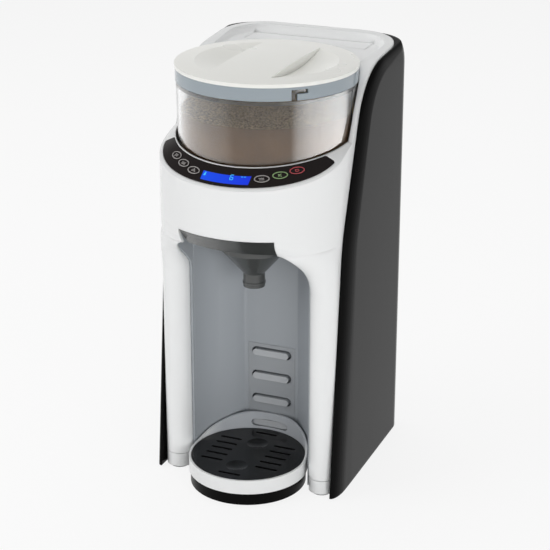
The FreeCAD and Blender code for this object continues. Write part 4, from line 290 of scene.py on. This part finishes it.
# %% Rubber, silicone and acetal
rubber = satin_abs("moulded_rubber", "#141414", 0.75, grain_mm=1.2, depth=0.25)
silicone = satin_abs("translucent_silicone", "#D9D9D4", 0.5, grain_mm=1.5, depth=0.1)
acetal = satin_abs("natural_acetal", "#E4E3DC", 0.35, grain_mm=1.0, depth=0.08)
print("soft and sliding plastics:", rubber.name, silicone.name, acetal.name)

# %% [markdown]
# ## Circuit boards
# A board is glass cloth and epoxy under a green solder mask. Copper tracks under the mask show as
# slightly lighter lines, here a brick pattern of tracks 2.5 mm apart.


# %% Solder mask over copper tracks
def solder_mask():
    made, tree = new_material("green_solder_mask")
    place = add(tree, "TexCoord")
    turn = add(tree, "Mapping", {"Vector": place.outputs["Object"], "Rotation": (math.radians(90), 0, 0)})
    tracks = add(tree, "TexBrick", {"Vector": turn.outputs["Vector"], "Color1": linear("#1E5A36"),
                                    "Color2": linear("#256A40"), "Mortar": linear("#2F7C4C"),
                                    "Scale": 1.0, "Mortar Size": 0.25 * MM, "Brick Width": 9 * MM,
                                    "Row Height": 2.5 * MM})
    shader = add(tree, "BsdfPrincipled", {"Base Color": tracks.outputs["Color"], "Roughness": 0.3,
                                          "IOR": 1.55})
    finish_material(tree, shader)
    return made


board = solder_mask()
print("boards:", board.name)

# %% [markdown]
# ## The control panel
# The crescent is a polycarbonate part printed dark brown-black from behind and then hard-coated, so it
# is very glossy. Behind its window lies a liquid crystal display with a blue backlight. Its lamp sits
# at one end, so the glow falls off a little along it.


# %% Panel film and backlight
panel_film = gloss_abs("hard_coated_panel", "#1A1312", 0.09, wave_mm=12.0, wave=0.004, edge_mm=0.25,
                       shine=0.4)


HALF_DISPLAY = 24.0


def backlight(name, bright, dim, strength):
    """A glowing film whose colour falls off along X, from one end of the display to the other."""
    made, tree = new_material(name)
    place = add(tree, "TexCoord")
    split = add(tree, "SeparateXYZ", {"Vector": place.outputs["Object"]})
    share = add(tree, "MapRange", {"Value": split.outputs["X"], "From Min": -HALF_DISPLAY * MM,
                                   "From Max": HALF_DISPLAY * MM})
    glow = add(tree, "Mix", {0: share.outputs["Result"], 6: linear(bright), 7: linear(dim)},
               data_type="RGBA")
    shader = add(tree, "BsdfPrincipled", {"Base Color": linear("#030409"), "Roughness": 0.1,
                                          "Emission Color": glow.outputs[2], "Emission Strength": strength})
    finish_material(tree, shader)
    return made


lcd_blue = backlight("blue_backlight", "#1450F2", "#1436E6", 0.92)
lcd_digit = backlight("cyan_segments", "#47C4FA", "#3DB4F8", 1.0)
print("display:", lcd_blue.name, lcd_digit.name)


# %% Printed films of the keys
def key_film(name, swatch):
    """Screen-printed metallic ink: a satin sparkle from flakes about 0.1 mm across, drawn at 0.3 mm."""
    made, tree = new_material(name)
    flakes = grain(tree, 0.3, 2.0)
    blur = add(tree, "MapRange", {"Value": flakes.outputs["Fac"], "To Min": 0.25, "To Max": 0.5})
    shader = add(tree, "BsdfPrincipled", {"Base Color": linear(swatch), "Metallic": 0.25,
                                          "Roughness": blur.outputs["Result"]})
    finish_material(tree, shader)
    return made


silver_ink = key_film("silver_ink", "#B4B0AE")
green_ink = key_film("green_ink", "#9DBE86")
red_ink = key_film("red_ink", "#C8585F")
print("inks:", silver_ink.name, green_ink.name, red_ink.name)

# %% [markdown]
# ## Milk powder
# Spray-dried formula is a heap of pale cream granules. Pressed against the wall it looks smooth and
# brown; its free top is loose clumps of one or two millimetres with dark gaps between them. The
# direction in which a face points tells the two apart, so one material serves both.


# %% Powder
def milk_powder():
    made, tree = new_material("spray_dried_powder")
    drifts = grain(tree, 55.0, 2.0)
    packed = add(tree, "ValToRGB", {"Fac": drifts.outputs["Fac"]})
    packed.color_ramp.elements[0].position = 0.38
    packed.color_ramp.elements[0].color = linear("#8E6A44")
    packed.color_ramp.elements[1].position = 0.66
    packed.color_ramp.elements[1].color = linear("#A47E56")
    clumps = grain(tree, 1.4, 5.0)
    loose = add(tree, "ValToRGB", {"Fac": clumps.outputs["Fac"]})
    loose.color_ramp.elements[0].position = 0.40
    loose.color_ramp.elements[0].color = linear("#7E5524")
    loose.color_ramp.elements[1].position = 0.60
    loose.color_ramp.elements[1].color = linear("#F0D29A")
    facing = add(tree, "NewGeometry")
    split = add(tree, "SeparateXYZ", {"Vector": facing.outputs["True Normal"]})
    upward = add(tree, "MapRange", {"Value": split.outputs["Z"], "From Min": 0.05, "From Max": 0.4})
    toned = add(tree, "Mix", {0: upward.outputs["Result"], 6: packed.outputs["Color"],
                              7: loose.outputs["Color"]}, data_type="RGBA")
    bump = add(tree, "Bump", {"Strength": 0.45, "Distance": 0.6 * MM, "Height": clumps.outputs["Fac"]})
    shader = add(tree, "BsdfPrincipled", {"Base Color": toned.outputs[2], "Roughness": 0.9,
                                          "Specular IOR Level": 0.2, "Normal": bump.outputs["Normal"]})
    finish_material(tree, shader)
    return made


powder = milk_powder()
print("powder:", powder.name)

# %% [markdown]
# ## Dressing the solid pieces
# Each carried-over piece keeps its mesh and only gets its finish. The table below is read like a parts
# list.

# %% Finishes for the pieces
FINISHES = {
    white_abs: ["front_shell", "left_foot_cap", "right_foot_cap", "tank_cover"],
    lid_abs: ["lid"],
    tray_plastic_painted_shade: ["tray_ring"],
    black_abs: ["rear_casing"],
    liner_abs: ["bay_liner"],
    rail_plastic_painted_shade: ["tray_rail"],
    dark_abs: ["chassis", "base_plate", "container_seat", "thermostat", "pump_housing", "tank_dock",
               "mains_inlet", "holder_rails"],
    pan_abs: ["drip_pan"],
    grille_abs: ["tray_grille"],
    rubber: ["rubber_feet"],
    silicone: ["keypad_mat", "suction_tube", "feed_tube", "hot_tube", "dock_seal", "lid_gasket",
               "tank_valve"],
    acetal: ["powder_chute", "water_nozzle", "powder_wheel", "stirrer", "drive_gear", "pump_rotor"],
    steel: ["gear_motor", "motor_bracket", "screws", "hinge_pins", "drive_hub", "motor_pinion"],
    brass: ["drive_bush"],
    aluminium: ["heater"],
    board: ["display_board", "power_board", "control_board"],
    panel_film: ["fascia", "temperature_button", "ounces_button", "powder_button", "wash_button",
                 "start_button", "stop_button"],
    lcd_blue: ["display_window"],
    clear_container: ["powder_container", "container_base"],
    collar_plastic: ["lid_collar"],
    tank_plastic: ["water_tank"],
    holder_plastic: ["funnel_holder"],
    funnel_plastic: ["funnel"],
    powder: ["formula_powder"],
}
for finish, names in FINISHES.items():
    for name in names:
        mesh = nodes[name].data
        mesh.materials.clear()
        mesh.materials.append(finish)
print("pieces dressed:", sum(len(names) for names in FINISHES.values()), "of", len(nodes))

# %% [markdown]
# ## Working by hand in edit mode
# The pieces below are modelled as one would at the screen: start from a primitive, select some of it,
# and push it about with operators. Four small helpers do what the mouse would: add a primitive with
# nothing else selected, select parts by their place, put the finished piece where it belongs, and fix
# it there.


# %% Hands
def fresh(name, operator, **settings):
    """Adds a primitive with everything else deselected, and names it."""
    if bpy.context.mode != "OBJECT":
        bpy.ops.object.mode_set(mode="OBJECT")
    bpy.ops.object.select_all(action="DESELECT")
    operator(**settings)
    made = bpy.context.object
    made.name = name
    made.data.name = name
    return made


def pick(piece, test, kind="FACE"):
    """In edit mode, selects the faces or vertices whose place passes the test, and nothing else."""
    bpy.ops.object.mode_set(mode="EDIT")
    bpy.ops.mesh.select_mode(type=kind)
    bpy.ops.mesh.select_all(action="DESELECT")
    bpy.ops.object.mode_set(mode="OBJECT")
    if kind == "FACE":
        for face in piece.data.polygons:
            face.select = bool(test(face.center, face.normal))
    else:
        for corner in piece.data.vertices:
            corner.select = bool(test(corner.co, corner.normal))
    bpy.ops.object.mode_set(mode="EDIT")


def settle(piece, matrix, body, slot_name, *finishes):
    """Fixes a piece in place, gives it its finishes and lets it ride on a body."""
    if bpy.context.mode != "OBJECT":
        bpy.ops.object.mode_set(mode="OBJECT")
    piece.matrix_world = matrix @ piece.matrix_world
    bpy.ops.object.select_all(action="DESELECT")
    piece.select_set(True)
    bpy.context.view_layer.objects.active = piece
    bpy.ops.object.transform_apply(location=True, rotation=True, scale=True)
    piece.data.materials.clear()
    for finish in finishes:
        piece.data.materials.append(finish)
    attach(piece, body)


def apply_modifiers(piece):
    bpy.ops.object.select_all(action="DESELECT")
    piece.select_set(True)
    bpy.context.view_layer.objects.active = piece
    for modifier in list(piece.modifiers):
        bpy.ops.object.modifier_apply(modifier=modifier.name)


print("helpers:", fresh.__name__, pick.__name__, settle.__name__, apply_modifiers.__name__)

# %% [markdown]
# ## Places on the control panel
# The panel is part of a shallow cone about the container's axis, tipped a little to the front. A print
# on a key is drawn flat about the origin and then carried there by four moves: lean it to the cone's
# slope, push it out to its radius, swing it round the axis, and tip the whole cone. The table of keys
# gives each one's radius in millimetres and its angle from the front in degrees.

# %% Panel places
AXIS_Y, RIM_RADIUS, RIM_HEIGHT = -15.0 * MM, 84.0 * MM, 341.7 * MM
RIM_SLOPE, CONE_SLOPE = math.radians(8.6), math.radians(27.9)


def on_panel(radius, angle, lift):
    """The matrix that carries a flat drawing onto the panel; radius and lift are in mm, angle in degrees."""
    drop = (radius * MM - RIM_RADIUS) * math.tan(CONE_SLOPE)
    return (Matrix.Translation((0, AXIS_Y, RIM_HEIGHT)) @ Matrix.Rotation(RIM_SLOPE, 4, "X")
            @ Matrix.Rotation(math.radians(angle), 4, "Z") @ Matrix.Translation((0, -radius * MM, -drop))
            @ Matrix.Rotation(CONE_SLOPE, 4, "X") @ Matrix.Translation((0, 0, lift * MM)))


PRINT_LIFT = 0.5
KEYS = {
    "temperature_button": (92.4, -39.2), "ounces_button": (94.7, -29.5), "powder_button": (97.0, -19.8),
    "wash_button": (97.0, 19.8), "start_button": (94.7, 29.5), "stop_button": (92.4, 39.2),
}
print("keys:", len(KEYS))

# %% [markdown]
# ## Key outlines
# A printed oval runs just inside each key's edge. It is raised a tenth of a millimetre, as thick ink
# is. A circle is stretched to the oval, inset once, its middle is taken out, and the band that is left
# is extruded.


# %% Oval bands
def oval_band(name, half_long, half_short, band, thick):
    """A flat oval ring; sizes in mm."""
    piece = fresh(name, bpy.ops.mesh.primitive_circle_add, vertices=64, radius=1.0, fill_type="NGON")
    bpy.ops.object.mode_set(mode="EDIT")
    bpy.ops.transform.resize(value=(half_long * MM, half_short * MM, 1.0))
    bpy.ops.mesh.inset(thickness=band * MM)
    bpy.ops.mesh.delete(type="FACE")
    bpy.ops.mesh.select_all(action="SELECT")
    bpy.ops.mesh.extrude_region_move(TRANSFORM_OT_translate={"value": (0, 0, thick * MM)})
    bpy.ops.mesh.select_all(action="SELECT")
    bpy.ops.mesh.normals_make_consistent(inside=False)
    bpy.ops.object.mode_set(mode="OBJECT")
    return piece


KEY_INKS = {"start_button": (green_ink, "green_key"), "stop_button": (red_ink, "red_key")}


def print_on_key(piece, key):
    """Lays a flat print on a key and gives it the key's ink."""
    radius, angle = KEYS[key]
    ink, ink_slot = KEY_INKS.get(key, (silver_ink, "silver_key"))
    settle(piece, on_panel(radius, angle, PRINT_LIFT), key, ink_slot, ink)


for key in KEYS:
    print_on_key(oval_band(key.replace("_button", "_outline"), 6.9, 3.9, band=0.85, thick=0.12), key)
print("outlines:", len(KEYS))

# %% [markdown]
# ## Key marks
# Each key needs a mark that says what it does without words: a thermometer, a drop level, a scoop's
# heap, a wave for washing, a triangle to start and a square to stop. They are all built of short bars
# with rounded ends, stamped from one recipe: planes for the bars, their corners bevelled round, then
# one extrusion.


# %% Stamped bars
def stamped(name, bars, thick):
    """A raised print made of bars; each bar is (x, y, length, width, turn in degrees), in mm."""
    middle = (0, 0, 0)
    piece = fresh(name, bpy.ops.mesh.primitive_plane_add, size=MM)
    bpy.ops.object.mode_set(mode="EDIT")
    for number, (x, y, length, width, turn) in enumerate(bars):
        if number:
            bpy.ops.mesh.select_all(action="DESELECT")
            bpy.ops.mesh.primitive_plane_add(size=MM)
        bpy.ops.transform.resize(value=(length, width, 1.0), center_override=middle)
        bpy.ops.transform.rotate(value=math.radians(turn), orient_axis="Z", center_override=middle)
        bpy.ops.transform.translate(value=(x * MM, y * MM, 0))
    bpy.ops.mesh.select_all(action="SELECT")
    bpy.ops.mesh.bevel(offset=0.2 * MM, segments=2, affect="VERTICES")
    bpy.ops.mesh.select_all(action="SELECT")
    bpy.ops.mesh.extrude_region_move(TRANSFORM_OT_translate={"value": (0, 0, thick * MM)})
    bpy.ops.mesh.select_all(action="SELECT")
    bpy.ops.mesh.normals_make_consistent(inside=False)
    bpy.ops.object.mode_set(mode="OBJECT")
    return piece


MARKS = {
    "temperature_button": [(-1.9, 0.0, 2.6, 0.9, 90), (-1.9, -1.2, 1.4, 1.1, 0), (0.6, 0.9, 2.4, 0.55, 0),
                           (0.3, 0.0, 1.8, 0.55, 0), (0.6, -0.9, 2.4, 0.55, 0)],
    "ounces_button": [(-2.0, 0.0, 2.9, 0.6, 90), (2.0, 0.0, 2.9, 0.6, 90), (0.0, -1.15, 3.6, 0.6, 0),
                      (0.0, -0.1, 2.6, 0.6, 0), (0.0, 0.8, 1.4, 0.5, 0)],
    "powder_button": [(-1.7, -0.7, 1.2, 0.9, 0), (0.0, -0.7, 1.2, 0.9, 0), (1.7, -0.7, 1.2, 0.9, 0),
                      (-0.85, 0.4, 1.2, 0.9, 0), (0.85, 0.4, 1.2, 0.9, 0), (0.0, 1.4, 1.2, 0.8, 0)],
    "wash_button": [(-2.2, 0.5, 1.5, 0.6, 35), (-1.0, 0.5, 1.5, 0.6, -35), (0.2, 0.5, 1.5, 0.6, 35),
                    (1.4, 0.5, 1.5, 0.6, -35), (0.0, -1.1, 4.6, 0.6, 0)],
    "start_button": [(-1.3, 0.0, 2.9, 0.7, 90), (0.1, 0.75, 3.0, 0.7, -28), (0.1, -0.75, 3.0, 0.7, 28)],
    "stop_button": [(-1.4, 0.0, 2.4, 0.7, 90), (1.4, 0.0, 2.4, 0.7, 90), (0.0, 0.95, 3.4, 0.7, 0),
                    (0.0, -0.95, 3.4, 0.7, 0)],
}
for key, bars in MARKS.items():
    print_on_key(stamped(key.replace("_button", "_mark"), bars, thick=0.1), key)
print("marks:", len(MARKS))

# %% [markdown]
# ## The display's segments
# A liquid crystal display lights fixed segments. The big figure is a seven-segment six, the number of
# measures chosen. Left of it sits a small bottle, and right of it two short bars stand for the unit.
# Each entry gives a print's place along the display in millimetres, and then its bars.

# %% Segments
DISPLAY_RING = 96.1
SEGMENTS = {
    "figure_six": (6.3, [(0.0, 2.6, 2.6, 0.75, 0), (-1.45, 1.3, 2.2, 0.75, 80), (0.0, 0.0, 2.4, 0.75, 0),
                         (-1.65, -1.3, 2.2, 0.75, 80), (-0.3, -2.6, 2.6, 0.75, 0),
                         (1.1, -1.3, 2.2, 0.75, 80)]),
    "bottle_sign": (-20.2, [(0.0, -1.4, 2.0, 2.4, 0), (0.0, 0.4, 1.4, 0.8, 0), (0.0, 1.2, 0.6, 0.7, 90)]),
    "unit_bars": (16.8, [(-1.4, 1.2, 1.9, 0.7, 0), (1.2, 1.2, 1.9, 0.7, 0)]),
}
for name, (along, bars) in SEGMENTS.items():
    angle = math.degrees(math.asin(along / DISPLAY_RING))
    lit = stamped(name, bars, thick=0.06)
    settle(lit, on_panel(DISPLAY_RING, angle, 0.0), "machine", "lcd_blue", lcd_digit)
print("display prints:", len(SEGMENTS))

# %% [markdown]
# ## The heap of powder
# Loose powder never lies level: it was poured in from one side and shaken. The charge is a cylinder
# whose top is inset into rings and subdivided, so that it has corners to move. Two displace modifiers
# then raise it, one for broad drifts and one for clumps, and a vertex group holds both back at the
# wall.

# %% Charge of powder
HEAP_RADIUS, HEAP_TOP, HEAP_DEEP = 79.4, 362.0, 44.0
RINGS, RING_WIDTH, RING_GROWTH = 13, 1.2, 0.9
FREE_FROM_WALL = 4.0


def is_top(place, normal):
    return normal.z > 0.9


charge = fresh("powder_heap", bpy.ops.mesh.primitive_cylinder_add, vertices=160,
               radius=HEAP_RADIUS * MM, depth=HEAP_DEEP * MM,
               location=(0, AXIS_Y, (HEAP_TOP - HEAP_DEEP / 2) * MM))
bpy.ops.object.transform_apply(location=True, rotation=True, scale=True)
pick(charge, is_top)
for ring in range(RINGS):
    bpy.ops.mesh.inset(thickness=(RING_WIDTH + RING_GROWTH * ring) * MM, use_even_offset=False)
bpy.ops.object.mode_set(mode="OBJECT")
pick(charge, is_top)
bpy.ops.mesh.quads_convert_to_tris(quad_method="BEAUTY", ngon_method="BEAUTY")
bpy.ops.mesh.subdivide(number_cuts=2)
bpy.ops.mesh.select_all(action="SELECT")
bpy.ops.mesh.normals_make_consistent(inside=False)
bpy.ops.object.mode_set(mode="OBJECT")
loose = charge.vertex_groups.new(name="loose_top")
for corner in charge.data.vertices:
    from_axis = math.hypot(corner.co.x, corner.co.y - AXIS_Y)
    if corner.co.z > (HEAP_TOP - 0.1) * MM:
        share = 0.35 + (HEAP_RADIUS * MM - from_axis) / (FREE_FROM_WALL * MM)
        loose.add([corner.index], min(1.0, share), "REPLACE")
for title, size_mm, height_mm in (("drifts", 26.0, 4.5), ("clumps", 2.2, 1.0)):
    clouds = bpy.data.textures.new(title, "CLOUDS")
    clouds.noise_scale = size_mm * MM
    lift = charge.modifiers.new(title, "DISPLACE")
    lift.texture = clouds
    lift.texture_coords = "LOCAL"
    lift.direction = "Z"
    lift.mid_level = 0.5
    lift.strength = height_mm * MM
    lift.vertex_group = "loose_top"
apply_modifiers(charge)
bpy.ops.object.shade_smooth()
settle(charge, Matrix.Identity(4), "container", "powder", powder)
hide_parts("formula_powder")
print("powder heap:", len(charge.data.vertices), "corners")

# %% [markdown]
# ## Floor and light
# A white machine on a white table shows only by its soft shadows. A large soft lamp stands in front and
# to the left, a second one in front and to the right opens the bottle bay, and a third lies above. Two
# cards stand close by on both sides and are linked to the clear wall alone, where they draw its long
# soft highlights. The table is a diffuse white that also glows for the eye and in reflections, so that
# it reads as plain white while a faint shadow stays on it.

# %% Table
TABLE_SIZE, TABLE_GLOW = 14.0, 0.85
table = fresh("table", bpy.ops.mesh.primitive_plane_add, size=TABLE_SIZE, location=(0, 0, 0))
paper, paper_tree = new_material("white_paper")
paper_fibre = grain(paper_tree, 3.0, 2.0)
paper_bump = add(paper_tree, "Bump", {"Strength": 0.02, "Distance": 0.1 * MM,
                                      "Height": paper_fibre.outputs["Fac"]})
paper_shader = add(paper_tree, "BsdfDiffuse", {"Color": linear("#F2F2F2"),
                                               "Normal": paper_bump.outputs["Normal"]})
paper_glow = add(paper_tree, "Emission", {"Color": (1.0, 1.0, 1.0, 1.0), "Strength": 1.0})
rays = add(paper_tree, "LightPath")
seen = add(paper_tree, "Math", {0: rays.outputs["Is Camera Ray"], 1: rays.outputs["Is Glossy Ray"]},
           operation="MAXIMUM")
seen = add(paper_tree, "Math", {0: seen.outputs[0], 1: rays.outputs["Is Transmission Ray"]},
           operation="MAXIMUM")
glow_share = add(paper_tree, "Math", {0: seen.outputs[0], 1: TABLE_GLOW}, operation="MULTIPLY")
paper_mix = add(paper_tree, "MixShader", {0: glow_share.outputs[0], 1: paper_shader.outputs[0],
                                          2: paper_glow.outputs[0]})
finish_material(paper_tree, paper_mix)
table.data.materials.append(paper)
print("table:", table.name)

# %% [markdown]
# The room is bright near the horizon and darker overhead, as a studio with white walls and a dark
# ceiling is. The darker part is what the casing's rolled edge and the control panel mirror.

# %% Room
world = bpy.data.worlds.new("studio")
bpy.context.scene.world = world
world.use_nodes = True
room = world.node_tree
room_light = room.nodes["Background"]
room_place = add(room, "TexCoord")
room_split = add(room, "SeparateXYZ", {"Vector": room_place.outputs["Generated"]})
room_height = add(room, "MapRange", {"Value": room_split.outputs["Z"], "From Min": 0.05, "From Max": 0.5,
                                     "To Min": 1.0, "To Max": 0.22})
room.links.new(room_height.outputs["Result"], room_light.inputs["Strength"])
room_light.inputs["Color"].default_value = linear("#FFFFFF")


# %% Lamps
def soft_box(name, place, aim_at, width, height, power, mirrored=True, lights=True):
    """A soft lamp at a place in metres, aimed at a point; it may stay out of mirrors, or be in them only."""
    data = bpy.data.lights.new(name, "AREA")
    data.shape = "RECTANGLE"
    data.size = width
    data.size_y = height
    data.energy = power
    lamp = bpy.data.objects.new(name, data)
    bpy.context.scene.collection.objects.link(lamp)
    lamp.location = place
    aim = Vector(aim_at) - lamp.location
    lamp.rotation_euler = aim.to_track_quat("-Z", "Y").to_euler()
    lamp.visible_camera = False
    lamp.visible_glossy = mirrored
    lamp.visible_diffuse = lights
    lamp.visible_transmission = False
    return lamp


def fade_out(lamp):
    """Makes a lamp strongest in the middle of its width and dark at both ends: 4 x (1 - x) along it."""
    lamp.data.use_nodes = True
    tree = lamp.data.node_tree
    across = add(tree, "SeparateXYZ", {"Vector": add(tree, "NewGeometry").outputs["Parametric"]})
    from_end = add(tree, "Math", {0: 1.0, 1: across.outputs["X"]}, operation="SUBTRACT")
    product = add(tree, "Math", {0: across.outputs["X"], 1: from_end.outputs[0]}, operation="MULTIPLY")
    share = add(tree, "Math", {0: product.outputs[0], 1: 4.0}, operation="MULTIPLY")
    tree.links.new(share.outputs[0], tree.nodes["Emission"].inputs["Strength"])


MACHINE, BAY, CLEAR_WALL = (0, 0, 0.2), (0, 0, 0.18), (0, AXIS_Y, 0.34)
soft_box("key_light", (-1.5, -1.0, 1.3), MACHINE, 1.5, 1.5, 13.5)
soft_box("front_light", (1.25, -1.35, 0.32), BAY, 1.2, 0.8, 13.0, mirrored=False)
soft_box("top_light", (-0.3, 0.6, 2.2), MACHINE, 1.6, 1.6, 18.0, mirrored=False)
cards = [soft_box("right_card", (0.495, 0.055, 0.15), CLEAR_WALL, 1.04, 0.3, 8.0, lights=False),
         soft_box("left_card", (-0.483, -0.145, 0.15), CLEAR_WALL, 1.42, 0.3, 2.6, lights=False)]
mirrors = bpy.data.collections.new("clear_wall")
mirrors.objects.link(nodes["powder_container"])
for card in cards:
    fade_out(card)
    card.light_linking.receiver_collection = mirrors
bpy.context.scene.view_settings.view_transform = "Standard"
